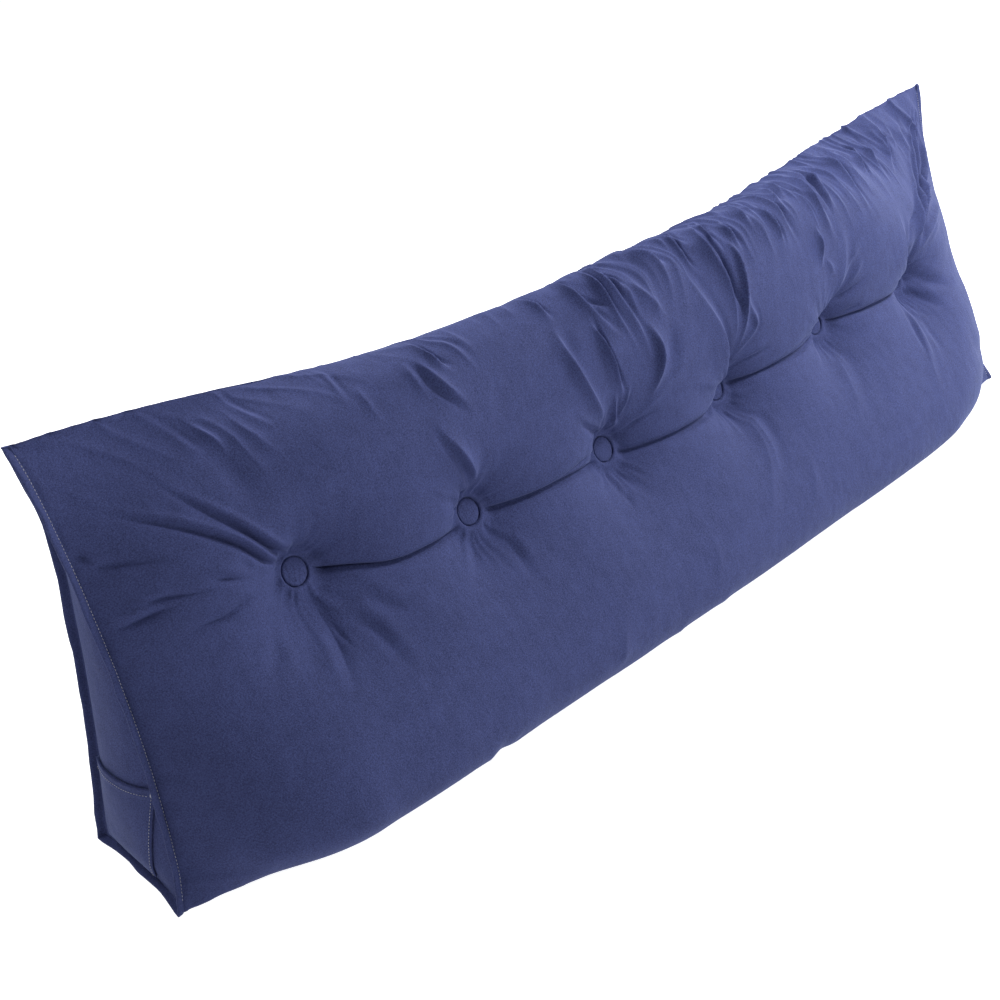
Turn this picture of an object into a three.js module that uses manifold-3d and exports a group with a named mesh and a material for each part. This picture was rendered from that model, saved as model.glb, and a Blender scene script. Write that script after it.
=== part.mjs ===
// A wedge headboard pillow: one long filled cushion with a triangular panel at each end, a stitched lip
// around each of them, six covered buttons in a row along its slanted front, and a patch pocket on its
// left end. Millimetres. +X runs along the length, +Z is up and the buttoned front faces -Y. The pillow
// stands on its bottom panel, and the origin is below the middle of its bounding box.
import * as THREE from "three";
import Module from "manifold-3d";
import { mergeVertices } from "three/addons/utils/BufferGeometryUtils.js";

const { clamp, degToRad, lerp } = THREE.MathUtils;
const wasm = await Module();
wasm.setup();

// Driving sizes.
const LENGTH = 1800;
const HEIGHT = 500;
const DEPTH = 180;
const LEAN = 25; // how far the top ears lie behind the back of the base
const EAR_RISE = 1; // the bottom ears lie this far above the floor
const BOW = 14; // the middle of the pillow bows forward by this much
const BUTTON_RADIUS = 17.5;
const BUTTON_SIDES = 24;
const LIP_WIDTH = 10;
const LIP_THICKNESS = 3;
const CLEARANCE = 0.4; // between separate pieces

// The ears are the corners of the two triangular end panels. out is along the length.
const EARS = {
  top: { y: LEAN, z: HEIGHT, out: 0 },
  front: { y: -DEPTH, z: EAR_RISE, out: 8 },
  back: { y: -8, z: EAR_RISE, out: -8 },
};

// The cross-section where the pillow is full, from the front bottom seam up the front to the top seam,
// down the back and forward under the bottom. left and right are how far from that end it is full.
const FRONT_SECTION = [
  { y: -222, z: 8, left: 250, right: 560 },
  { y: -256, z: 19, left: 215, right: 480 },
  { y: -275, z: 50, left: 200, right: 420 },
  { y: -270, z: 93, left: 205, right: 350 },
  { y: -248, z: 137, left: 220, right: 290 },
  { y: -218, z: 178, left: 240, right: 240 },
  { y: -186, z: 214, left: 240, right: 240 },
  { y: -163, z: 248, left: 240, right: 240 },
  { y: -154, z: 288, left: 240, right: 250 },
  { y: -145, z: 334, left: 260, right: 300 },
  { y: -127, z: 380, left: 300, right: 380 },
  { y: -100, z: 424, left: 380, right: 480 },
  { y: -68, z: 458, left: 500, right: 640 },
  { y: -36, z: 468, left: 640, right: 840 },
  { y: -10, z: 448, left: 740, right: 1000 },
];
const BACK_SECTION = [
  { y: -10, z: 448, left: 740, right: 1000 },
  { y: 12, z: 380, left: 500, right: 560 },
  { y: 27, z: 285, left: 320, right: 320 },
  { y: 32, z: 190, left: 300, right: 300 },
  { y: 23, z: 95, left: 350, right: 350 },
  { y: -12, z: 14, left: 380, right: 380 },
];
const BOTTOM_SECTION = [
  { y: -12, z: 14, left: 380, right: 380 },
  { y: -45, z: 0, left: 350, right: 350 },
  { y: -90, z: 0, left: 300, right: 300 },
  { y: -140, z: 0, left: 300, right: 300 },
  { y: -180, z: 0, left: 320, right: 350 },
  { y: -222, z: 8, left: 250, right: 560 },
];

// A rise over a short length is rounder than one over a long length.
const QUICK_RISE = { length: 240, power: 0.8 };
const SLOW_RISE = { length: 620, power: 1.5 };

// Each panel's edge at an end, from ear to ear: crown is how far its middle bulges out in the section's
// own plane, and pull how far it is drawn in along the length. A skew below 1 brings the deepest place of
// that towards its start.
const END_EDGES = {
  front: { from: EARS.front, to: EARS.top, crown: 2, pull: 24, skew: 0.9 },
  back: { from: EARS.top, to: EARS.back, crown: 0, pull: 26, skew: 0.6 },
  bottom: { from: EARS.back, to: EARS.front, crown: -1, pull: 6, skew: 1 },
};
const PULL_REACH = 9; // the power by which the drawing in fades away from an end
const EDGE_POWER = 0.7; // below 1 an edge is drawn in sooner, next to its ears
const PANEL_BULGE = 15; // the middle of an end panel stands out this far past its drawn-in edges
const PANEL_RINGS = [0.88, 0.68, 0.42, 0.18]; // shares of the way out from the end panel's middle
const LIP_TURN = degToRad(14); // from the length towards the section's outward normal
const SEAM_END = LENGTH / 2 - LIP_WIDTH * Math.cos(LIP_TURN);

// The tufts. up is measured along the front from its bottom seam, and FRONT_LENGTH is its top seam.
const FRONT_LENGTH = 590;
const BUTTON_PITCH = LENGTH / 7;
const TUFTS = [
  { x: -2.5 * BUTTON_PITCH, up: 341, depth: 68 },
  { x: -1.5 * BUTTON_PITCH, up: 317, depth: 50 },
  { x: -0.5 * BUTTON_PITCH, up: 307, depth: 54 },
  { x: 0.5 * BUTTON_PITCH, up: 305, depth: 60 },
  { x: 1.5 * BUTTON_PITCH, up: 317, depth: 54 },
  { x: 2.5 * BUTTON_PITCH, up: 312, depth: 66 },
];
const TUFT_REACH = 62;
const SEAT_REACH = 24; // the cloth under a button is level out to here
const GROOVE = { depth: 15, width: 17, rise: 7 }; // the crease from button to button
const BUTTON_LEAN = degToRad(30); // how far a button's face looks up

// Half of a button's cross-section, from the middle of its base round its rim to the middle of its top.
// inset is how far each place lies inside the rim.
const BUTTON_PROFILE = [
  { inset: BUTTON_RADIUS, height: 0 },
  { inset: 3, height: 0 },
  { inset: 0, height: 2.5 },
  { inset: 0, height: 4.5 },
  { inset: 2.5, height: 7 },
  { inset: BUTTON_RADIUS / 2, height: 8.4 },
  { inset: BUTTON_RADIUS, height: 9 },
];
const SEAT_OPENING = 40; // taller than a button, so that its seat is open to the front

// The main folds, each a soft trough in the front along a line from one place to another, bent to its left
// by its bend. A depth below zero is a ridge.
const FOLDS = [
  { x: -843, up: 484, toX: -655, toUp: 362, bend: 12, depth: 6, width: 13 },
  { x: -762, up: 484, toX: -638, toUp: 364, bend: 6, depth: 6, width: 12 },
  { x: -868, up: 356, toX: -800, toUp: 370, bend: 0, depth: 3, width: 12 },
  { x: -827, up: 330, toX: -700, toUp: 342, bend: 5, depth: 3, width: 12 },
  { x: -684, up: 306, toX: -740, toUp: 259, bend: -5, depth: 3, width: 13 },
  { x: -634, up: 300, toX: -662, toUp: 205, bend: -8, depth: 6, width: 13 },
  { x: -602, up: 290, toX: -576, toUp: 210, bend: 4, depth: 5, width: 13 },
  { x: -752, up: 580, toX: -684, toUp: 478, bend: -4, depth: 6, width: 14 },
  { x: -690, up: 509, toX: -645, toUp: 400, bend: -6, depth: 5, width: 20 },
  { x: -645, up: 545, toX: -590, toUp: 455, bend: -6, depth: 5, width: 15 },
  { x: -540, up: 575, toX: -522, toUp: 495, bend: 0, depth: 4, width: 13 },
  { x: -422, up: 512, toX: -376, toUp: 436, bend: -6, depth: 5, width: 14 },
  { x: -428, up: 442, toX: -371, toUp: 345, bend: 4, depth: 6, width: 12 },
  { x: -480, up: 105, toX: -440, toUp: 20, bend: -8, depth: 5, width: 18 },
  { x: -196, up: 530, toX: -110, toUp: 342, bend: 0, depth: 7, width: 14 },
  { x: -200, up: 379, toX: -124, toUp: 320, bend: 3, depth: 4, width: 12 },
  { x: -130, up: 550, toX: -50, toUp: 388, bend: 6, depth: 9, width: 13 },
  { x: -70, up: 545, toX: -48, toUp: 466, bend: 0, depth: 5, width: 12 },
  { x: -46, up: 470, toX: -38, toUp: 354, bend: 14, depth: -8, width: 13 },
  { x: -12, up: 466, toX: -30, toUp: 348, bend: 16, depth: 9, width: 15 },
  { x: 40, up: 532, toX: 134, toUp: 352, bend: 0, depth: -6, width: 13 },
  { x: 58, up: 520, toX: 154, toUp: 338, bend: 4, depth: 10, width: 14 },
  { x: 162, up: 540, toX: 161, toUp: 342, bend: 4, depth: 8, width: 12 },
  { x: 186, up: 504, toX: 180, toUp: 362, bend: 4, depth: 6, width: 12 },
  { x: 246, up: 562, toX: 260, toUp: 462, bend: 0, depth: 6, width: 14 },
  { x: 412, up: 578, toX: 409, toUp: 340, bend: 24, depth: 8, width: 13 },
  { x: 446, up: 556, toX: 440, toUp: 456, bend: 0, depth: 8, width: 12 },
  { x: 388, up: 470, toX: 388, toUp: 396, bend: 0, depth: -5, width: 12 },
  { x: 500, up: 572, toX: 522, toUp: 482, bend: 4, depth: 4, width: 14 },
  { x: 590, up: 566, toX: 618, toUp: 500, bend: 4, depth: 6, width: 14 },
  { x: 690, up: 566, toX: 706, toUp: 486, bend: 8, depth: 4, width: 14 },
  { x: 650, up: 362, toX: 874, toUp: 470, bend: 24, depth: 7, width: 14 },
  { x: 664, up: 309, toX: 790, toUp: 260, bend: 4, depth: 5, width: 13 },
  { x: 648, up: 284, toX: 584, toUp: 206, bend: 4, depth: -4, width: 14 },
];

const FOLD_POWER = 0.6; // below 1 a fold keeps its depth longer towards its ends

// The pocket, in the plane of the left end panel. tilt is how much further forward its back edge starts
// at the bottom.
const POCKET = { back: -12, front: -126, tilt: 14, bottom: 14, top: 128, sag: 5 };
const POCKET_THICKNESS = 2.2;
const POCKET_STANDOFF = 0.8; // it stands this far off the panel
const HEM = { height: 14, thickness: 3.4 };
const POCKET_COLUMNS = 12;
const POCKET_ROWS = 12;
const PANEL_SAMPLES = [-1, -0.5, 0, 0.5, 1]; // places beside each of its points, in steps of its grid

// Rows and columns of the body's surface.
const FRONT_COLUMNS = 132;
const FRONT_ROWS = 32;
const BACK_EVERY = 3; // the back and the bottom use every third column
const BACK_ROWS = 5;
const BOTTOM_ROWS = 5;
const WELD = 1e-3; // points closer than this are one
const TIE = 1e-9; // shares closer than this are equal

// How full the section is at a distance from one end: a quick round rise in the middle of a panel, and a
// slow flat one along its seams.
function fullness(distance, rise) {
  const share = Math.min(1, distance / rise);
  const slow = (rise - QUICK_RISE.length) / (SLOW_RISE.length - QUICK_RISE.length);
  const power = lerp(QUICK_RISE.power, SLOW_RISE.power, clamp(slow, 0, 1));
  return Math.sin((Math.PI / 2) * share) ** power;
}

// The point of an end panel's edge at a share of the way along it, with x as its distance in from the end.
function endPoint(edge, share) {
  const { from, to, crown, pull, skew } = edge;
  const span = Math.hypot(to.y - from.y, to.z - from.z);
  const out = crown * Math.sin(Math.PI * share);
  return new THREE.Vector3(
    pull * Math.sin(Math.PI * share ** skew) ** EDGE_POWER - lerp(from.out, to.out, share),
    lerp(from.y, to.y, share) - ((to.z - from.z) / span) * out,
    lerp(from.z, to.z, share) + ((to.y - from.y) / span) * out,
  );
}

// A panel's points across the section at x, from seam to seam, with no tufts yet.
function panelRow(rows, edge, x, count) {
  const closeness = Math.abs(x / SEAM_END) ** PULL_REACH;
  const bow = BOW * (1 - (x / SEAM_END) ** 2);
  const knots = rows.map((row, k) => {
    const end = endPoint(edge, k / (rows.length - 1));
    const full = fullness(SEAM_END + x, row.left) * fullness(SEAM_END - x, row.right);
    return new THREE.Vector3(
      x - Math.sign(x) * end.x * closeness,
      lerp(end.y, row.y, full) - bow,
      lerp(end.z, row.z, full),
    );
  });
  const curve = new THREE.CatmullRomCurve3(knots, false, "centripetal");
  return Array.from({ length: count + 1 }, (_, j) => curve.getPoint(j / count));
}

// How far the tufts and the crease between them pull the front in.
function tuftPull(x, up) {
  let depth = 0;
  for (const tuft of TUFTS) {
    const away = Math.hypot(x - tuft.x, up - tuft.up);
    depth += tuft.depth * Math.exp(-Math.max(0, away - SEAT_REACH) / TUFT_REACH);
  }
  const next = TUFTS.findIndex((tuft) => tuft.x > x);
  if (next > 0) {
    const [left, right] = [TUFTS[next - 1], TUFTS[next]];
    const share = (x - left.x) / (right.x - left.x);
    const arch = Math.sin(Math.PI * share);
    const line = lerp(left.up, right.up, share) - GROOVE.rise * arch;
    depth += GROOVE.depth * Math.exp(-(((up - line) / GROOVE.width) ** 2)) * Math.min(1, 2 * arch);
  }
  return depth;
}

// How far the folds press the front in.
function foldPull(x, up) {
  let depth = 0;
  for (const fold of FOLDS) {
    const length = Math.hypot(fold.toX - fold.x, fold.toUp - fold.up);
    const cos = (fold.toX - fold.x) / length;
    const sin = (fold.toUp - fold.up) / length;
    const share = ((x - fold.x) * cos + (up - fold.up) * sin) / length;
    if (share <= 0 || share >= 1) continue;
    const off = (up - fold.up) * cos - (x - fold.x) * sin - fold.bend * Math.sin(Math.PI * share);
    depth += fold.depth * Math.exp(-((off / fold.width) ** 2)) * Math.sin(Math.PI * share) ** FOLD_POWER;
  }
  return depth;
}

// The outward normals of a closed or open row of points, in the section's own plane.
function rowNormals(points, closed) {
  const last = points.length - 1;
  return points.map((_, j) => {
    const before = points[j > 0 ? j - 1 : closed ? last : 0];
    const after = points[j < last ? j + 1 : closed ? 0 : last];
    return new THREE.Vector3(0, before.z - after.z, after.y - before.y).normalize();
  });
}

function frontRow(x) {
  const points = panelRow(FRONT_SECTION, END_EDGES.front, x, FRONT_ROWS);
  const normals = rowNormals(points, false);
  return points.map((point, j) => {
    const up = (j / FRONT_ROWS) * FRONT_LENGTH;
    return point.clone().addScaledVector(normals[j], -tuftPull(x, up) - foldPull(x, up));
  });
}

// A list of points and triangles that grows, and becomes one closed mesh.
class Surface {
  points = [];
  triangles = [];

  addRow(points) {
    return points.map((point) => this.points.push(point) - 1);
  }

  // Triangles between two rows of points that run the same way. The rows may differ in number.
  zip(low, high) {
    let i = 0;
    let j = 0;
    while (i < low.length - 1 || j < high.length - 1) {
      const nextLow = (i + 1) / (low.length - 1);
      const nextHigh = (j + 1) / (high.length - 1);
      if (j === high.length - 1 || (i < low.length - 1 && nextLow <= nextHigh + TIE)) {
        this.triangles.push([low[i], low[i + 1], high[j]]);
        i += 1;
      } else {
        this.triangles.push([low[i], high[j + 1], high[j]]);
        j += 1;
      }
    }
  }

  geometry() {
    const made = new THREE.BufferGeometry();
    const positions = this.points.flatMap((point) => point.toArray());
    made.setAttribute("position", new THREE.Float32BufferAttribute(positions, 3));
    made.setIndex(this.triangles.flat());
    return made;
  }
}

// The stitched lip and the end panel, from the ring of seam points inwards. side is 1 at +X and -1 at -X.
function closeEnd(surface, seamRing, side) {
  const points = seamRing.map((i) => surface.points[i]);
  const normals = rowNormals(points, true);
  const offset = (point, k, outwards, along) =>
    point
      .clone()
      .addScaledVector(new THREE.Vector3(side * Math.cos(LIP_TURN), 0, 0), outwards)
      .addScaledVector(normals[k], outwards * Math.sin(LIP_TURN) - along * Math.cos(LIP_TURN))
      .addScaledVector(new THREE.Vector3(side * Math.sin(LIP_TURN), 0, 0), along);
  const lip = [
    points.map((point, k) => offset(point, k, LIP_WIDTH, 0)),
    points.map((point, k) => offset(point, k, LIP_WIDTH, LIP_THICKNESS)),
    points.map((point, k) => offset(point, k, 0, LIP_THICKNESS)),
  ];
  for (const ring of lip) for (const point of ring) point.z = Math.max(0, point.z);
  const root = lip[2];
  const { top, front, back } = EARS;
  const rootX = root.reduce((sum, point) => sum + point.x, 0) / root.length;
  const middle = new THREE.Vector3(rootX, (top.y + front.y + back.y) / 3, (top.z + front.z + back.z) / 3);
  const panel = PANEL_RINGS.map((share) =>
    root.map((point) => {
      const inner = point.clone().lerp(middle, 1 - share);
      inner.x += side * PANEL_BULGE * (1 - share * share);
      return inner;
    }),
  );
  middle.x += side * PANEL_BULGE;
  const rings = [seamRing, ...[...lip, ...panel].map((ring) => surface.addRow(ring))];
  const [tip] = surface.addRow([middle]);
  const closed = rings.map((ring) => [...ring, ring[0]]);
  for (let k = 0; k < closed.length - 1; k += 1) {
    if (side > 0) surface.zip(closed[k + 1], closed[k]);
    else surface.zip(closed[k], closed[k + 1]);
  }
  const last = closed.at(-1);
  for (let k = 0; k < last.length - 1; k += 1) {
    surface.triangles.push(side > 0 ? [last[k + 1], last[k], tip] : [last[k], last[k + 1], tip]);
  }
}

// The filled body: front, back and bottom panels joined at their seams, closed by the two end panels.
function bodySurface() {
  const surface = new Surface();
  const fronts = [];
  const backs = [];
  const bottoms = [];
  for (let i = 0; i <= FRONT_COLUMNS; i += 1) {
    const x = SEAM_END * ((2 * i) / FRONT_COLUMNS - 1);
    const front = surface.addRow(frontRow(x));
    fronts.push(front);
    if (i % BACK_EVERY !== 0) continue;
    const back = panelRow(BACK_SECTION, END_EDGES.back, x, BACK_ROWS).slice(1);
    const bottom = panelRow(BOTTOM_SECTION, END_EDGES.bottom, x, BOTTOM_ROWS).slice(1, -1);
    backs.push([front[FRONT_ROWS], ...surface.addRow(back)]);
    bottoms.push([backs.at(-1).at(-1), ...surface.addRow(bottom), front[0]]);
  }
  const along = (columns, j) => columns.map((column) => column[j]);
  for (let i = 0; i < FRONT_COLUMNS; i += 1) surface.zip(fronts[i + 1], fronts[i]);
  surface.zip(along(fronts, FRONT_ROWS), along(backs, 1));
  for (let j = 1; j < BACK_ROWS; j += 1) surface.zip(along(backs, j), along(backs, j + 1));
  for (let j = 0; j < BOTTOM_ROWS - 1; j += 1) surface.zip(along(bottoms, j), along(bottoms, j + 1));
  surface.zip(along(bottoms, BOTTOM_ROWS - 1), along(fronts, 0));
  const ringAt = (column, coarse) => [
    ...fronts[column],
    ...backs[coarse].slice(1),
    ...bottoms[coarse].slice(1, -1),
  ];
  closeEnd(surface, ringAt(0, 0), -1);
  closeEnd(surface, ringAt(FRONT_COLUMNS, backs.length - 1), 1);
  return surface;
}

function solidOf(geometry) {
  const bare = geometry.clone();
  bare.deleteAttribute("normal");
  bare.deleteAttribute("uv");
  const merged = mergeVertices(bare, WELD);
  const mesh = new wasm.Mesh({
    numProp: 3,
    vertProperties: merged.attributes.position.array,
    triVerts: new Uint32Array(merged.index.array),
  });
  return new wasm.Manifold(mesh);
}

function geometryOf(solid) {
  const mesh = solid.getMesh();
  const made = new THREE.BufferGeometry();
  made.setAttribute("position", new THREE.BufferAttribute(mesh.vertProperties, mesh.numProp));
  made.setIndex(new THREE.BufferAttribute(mesh.triVerts, 1));
  return made;
}

// Where a tuft's button sits, and the way that it faces.
function seatOf(tuft) {
  const facing = new THREE.Vector3(0, -Math.cos(BUTTON_LEAN), Math.sin(BUTTON_LEAN));
  const row = frontRow(tuft.x);
  const place = (tuft.up / FRONT_LENGTH) * FRONT_ROWS;
  const low = Math.floor(place);
  const point = row[low].clone().lerp(row[low + 1], place - low);
  return { point, turn: new THREE.Quaternion().setFromUnitVectors(new THREE.Vector3(0, 1, 0), facing) };
}

function buttonGeometry() {
  const profile = BUTTON_PROFILE.map((row) => new THREE.Vector2(BUTTON_RADIUS - row.inset, row.height));
  return new THREE.LatheGeometry(profile, BUTTON_SIDES);
}

// The room that a button needs in the cloth, open to the front.
function roomGeometry() {
  const wide = BUTTON_RADIUS + CLEARANCE;
  const profile = [
    new THREE.Vector2(0, -CLEARANCE),
    new THREE.Vector2(wide, -CLEARANCE),
    new THREE.Vector2(wide, SEAT_OPENING),
    new THREE.Vector2(0, SEAT_OPENING),
  ];
  return new THREE.LatheGeometry(profile, BUTTON_SIDES);
}

// A sheet that lies on the left end panel: a grid of points in the panel's plane, each moved out past the
// highest place of the panel around it, with the hem thicker than the rest.
function pocketGeometry(bodyMesh) {
  const caster = new THREE.Raycaster();
  const panelAt = (y, z) => {
    caster.set(new THREE.Vector3(-LENGTH, y, z), new THREE.Vector3(1, 0, 0));
    return caster.intersectObject(bodyMesh)[0].point.x;
  };
  const stepZ = (POCKET.top - POCKET.bottom) / POCKET_ROWS;
  const surface = new Surface();
  const loops = [];
  for (let j = 0; j <= POCKET_ROWS; j += 1) {
    const back = POCKET.back - POCKET.tilt * (1 - j / POCKET_ROWS);
    const stepY = (back - POCKET.front) / POCKET_COLUMNS;
    const inner = [];
    const outer = [];
    for (let i = 0; i <= POCKET_COLUMNS; i += 1) {
      const y = POCKET.front + i * stepY;
      const sag = (POCKET.sag * Math.sin((Math.PI * i) / POCKET_COLUMNS) * j) / POCKET_ROWS;
      const z = POCKET.bottom + j * stepZ - sag;
      const nearYs = PANEL_SAMPLES.map((share) => clamp(y + share * stepY, POCKET.front, back));
      const nearZs = PANEL_SAMPLES.map((share) => Math.max(POCKET.bottom, z + share * stepZ));
      const highest = Math.min(...nearYs.flatMap((nearY) => nearZs.map((nearZ) => panelAt(nearY, nearZ))));
      const x = highest - POCKET_STANDOFF;
      const thickness = POCKET.top - z < HEM.height + POCKET.sag ? HEM.thickness : POCKET_THICKNESS;
      inner.push(new THREE.Vector3(x, y, z));
      outer.push(new THREE.Vector3(x - thickness, y, z));
    }
    loops.push(surface.addRow([...inner, ...outer.reverse()]));
  }
  const closed = loops.map((loop) => [...loop, loop[0]]);
  for (let j = 0; j < POCKET_ROWS; j += 1) surface.zip(closed[j], closed[j + 1]);
  const halves = (loop) => [loop.slice(0, POCKET_COLUMNS + 1), loop.slice(POCKET_COLUMNS + 1).reverse()];
  const [bottomIn, bottomOut] = halves(loops[0]);
  const [topIn, topOut] = halves(loops[POCKET_ROWS]);
  surface.zip(bottomOut, bottomIn);
  surface.zip(topIn, topOut);
  return surface.geometry();
}

const cloth = new THREE.MeshStandardMaterial({ color: 0x3c4678, roughness: 0.95, metalness: 0 });
const pillow = new THREE.Group();

function addPiece(name, geometry) {
  const mesh = new THREE.Mesh(geometry, cloth.clone());
  mesh.name = name;
  pillow.add(mesh);
  return mesh;
}

const seats = TUFTS.map(seatOf);
let bodySolid = solidOf(bodySurface().geometry());
for (const seat of seats) {
  const room = roomGeometry();
  room.applyQuaternion(seat.turn).translate(...seat.point.toArray());
  bodySolid = bodySolid.subtract(solidOf(room));
}
const body = addPiece("pillow_body", geometryOf(bodySolid));
seats.forEach((seat, i) => {
  const button = addPiece(`button_${i + 1}`, buttonGeometry());
  button.position.copy(seat.point);
  button.quaternion.copy(seat.turn);
});
addPiece("pocket_left", pocketGeometry(body));

const box = new THREE.Box3().setFromObject(pillow);
const centre = box.getCenter(new THREE.Vector3());
pillow.position.set(-centre.x, -centre.y, -box.min.z);
const group = new THREE.Group();
group.add(pillow);

export default group;
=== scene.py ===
"""The looks of a wedge headboard pillow: its filled cover, covered buttons, patch pocket, topstitching, and
the stage that it stands on. The tables are in millimetres, in the pillow's own frame: x runs along its
length from the middle, y from the back of its base, and z from the floor. What goes into Blender is metres.
"""

import math
from collections import namedtuple

import bmesh
import bpy
import numpy as np
from mathutils import Matrix, Vector


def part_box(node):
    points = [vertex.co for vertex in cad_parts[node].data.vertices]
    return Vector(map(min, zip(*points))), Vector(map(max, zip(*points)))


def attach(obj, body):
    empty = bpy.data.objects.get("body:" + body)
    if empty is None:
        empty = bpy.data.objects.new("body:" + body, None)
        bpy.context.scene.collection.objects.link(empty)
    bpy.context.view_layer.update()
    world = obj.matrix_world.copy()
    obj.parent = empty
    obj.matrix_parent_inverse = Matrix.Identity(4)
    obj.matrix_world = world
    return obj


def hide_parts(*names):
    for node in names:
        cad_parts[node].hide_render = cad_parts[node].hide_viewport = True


bl_info = {
    "name": "Wedge headboard pillow",
    "version": (1, 0, 0),
    "blender": (4, 5, 0),
    "location": "View3D > Sidebar > Pillow",
    "description": "Makes the cover, buttons, pocket, stitching and stage of a wedge headboard pillow",
    "category": "Add Mesh",
}

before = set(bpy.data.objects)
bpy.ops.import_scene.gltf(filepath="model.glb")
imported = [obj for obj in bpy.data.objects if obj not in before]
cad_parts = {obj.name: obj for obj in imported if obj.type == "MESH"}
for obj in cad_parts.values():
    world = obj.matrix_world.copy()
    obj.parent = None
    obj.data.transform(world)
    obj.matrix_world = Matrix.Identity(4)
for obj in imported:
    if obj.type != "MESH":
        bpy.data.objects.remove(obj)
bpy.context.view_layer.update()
COTTON = "brushed cotton"
BUTTON_COTTON = "brushed cotton on buttons"
SPUN_THREAD = "spun thread"
MM = 0.001

# The pillow's driving sizes, as in the part's source.
LENGTH = 1800
HEIGHT = 500
DEPTH = 180
LEAN = 25
EAR_RISE = 1
BOW = 14
BUTTON_RADIUS = 17.5
LIP_WIDTH = 10
LIP_TURN = math.radians(14)
RIGHT_LIP_TURN = math.radians(-50)
SEAM_END = LENGTH / 2 - LIP_WIDTH * math.cos(LIP_TURN)

# The corners of the end panels. out is along the length.
Ear = namedtuple("Ear", "y z out")
TOP_EAR = Ear(LEAN, HEIGHT, 0)
FRONT_EAR = Ear(-DEPTH, EAR_RISE, 8)
BACK_EAR = Ear(-8, EAR_RISE, -8)

# The cross-section where the pillow is full. left and right are how far from that end it is full.
Knot = namedtuple("Knot", "y z left right")
FRONT_FOOT = Knot(-222, 8, 250, 450)
TOP = Knot(-10, 448, 740, 1000)
BACK_FOOT = Knot(-12, 14, 380, 380)
FRONT_SECTION = [
    FRONT_FOOT,
    Knot(-256, 19, 215, 380),
    Knot(-275, 50, 200, 310),
    Knot(-270, 93, 205, 285),
    Knot(-248, 137, 220, 265),
    Knot(-218, 178, 240, 240),
    Knot(-186, 214, 240, 240),
    Knot(-163, 248, 240, 240),
    Knot(-154, 288, 240, 250),
    Knot(-145, 334, 260, 300),
    Knot(-127, 380, 300, 380),
    Knot(-100, 424, 380, 480),
    Knot(-68, 458, 500, 640),
    Knot(-36, 468, 640, 840),
    TOP,
]
BACK_SECTION = [
    TOP,
    Knot(12, 380, 500, 560),
    Knot(27, 285, 320, 320),
    Knot(32, 190, 300, 300),
    Knot(23, 95, 350, 350),
    BACK_FOOT,
]
BOTTOM_SECTION = [
    BACK_FOOT,
    Knot(-45, 0, 350, 350),
    Knot(-90, 0, 300, 300),
    Knot(-140, 0, 300, 300),
    Knot(-180, 0, 320, 350),
    FRONT_FOOT,
]
# How steeply the section fills out from an end, where it does so over a short and over a long stretch.
QUICK_RISE = {"length": 240, "power": 0.8}
SLOW_RISE = {"length": 620, "power": 1.5}

# Each panel's edge at an end, from ear to ear: crown is how far it bulges in the section's plane, and pull
# how far it is drawn in along the length. skew moves the place where it is most drawn in towards one ear.
Edge = namedtuple("Edge", "start end crown pull skew")
FRONT_EDGE = Edge(FRONT_EAR, TOP_EAR, 2, 24, 0.9)
BACK_EDGE = Edge(TOP_EAR, BACK_EAR, 0, 26, 0.6)
BOTTOM_EDGE = Edge(BACK_EAR, FRONT_EAR, -1, 6, 1)
PULL_REACH = 9  # the power by which the drawing-in dies out towards the middle
EDGE_POWER = 0.7  # under 1, so that an edge is drawn in early on its way from an ear

# How far round the section each panel reaches.
FRONT_LENGTH = 590
BACK_LENGTH = 470
BOTTOM_LENGTH = 215
AROUND = FRONT_LENGTH + BACK_LENGTH + BOTTOM_LENGTH

# The tufts under the buttons. up is measured along the front from its bottom seam, and reach is how far out a
# tuft dies away. steep is the share of its depth that the cloth climbs close to the button, on its left side.
# puckers is how strong its fine gathers are, and clear is how far out the cloth that lies higher than the
# button is drawn down to it.
BUTTON_PITCH = LENGTH / 7
Tuft = namedtuple("Tuft", "x up depth reach steep puckers clear")
TUFTS = [
    Tuft(-2.5 * BUTTON_PITCH, 341, 78, 76, 0.1, 0.85, 34),
    Tuft(-1.5 * BUTTON_PITCH, 317, 50, 62, 0.15, 0.8, 34),
    Tuft(-0.5 * BUTTON_PITCH, 307, 54, 62, 0.2, 0.8, 30),
    Tuft(0.5 * BUTTON_PITCH, 305, 62, 66, 0.55, 0.8, 26),
    Tuft(1.5 * BUTTON_PITCH, 317, 55, 62, 0.5, 0.8, 26),
    Tuft(2.5 * BUTTON_PITCH, 312, 70, 68, 0.6, 1, 26),
]
STEEP_REACH = 22
STEEP_RIGHT = 0.3  # how steep a tuft is on its right side against its left one
SEAT_REACH = 12

# The fine gathers round a button: how many lie round it in each layer of them, and how far they twist on
# their way out. They rise over open past the rim, and die out over reach past from.
PUCKER_ROUNDS = (7, 11, 16, 23)
PUCKERS = {"height": 6, "twist": 0.5, "twist_over": 60, "open": 10, "from": 24, "reach": 46}

BUTTON_LEAN = math.radians(30)
BUTTON_FACING = np.array([0, -math.cos(BUTTON_LEAN), math.sin(BUTTON_LEAN)])
BUTTON_HEIGHT = 9

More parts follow.
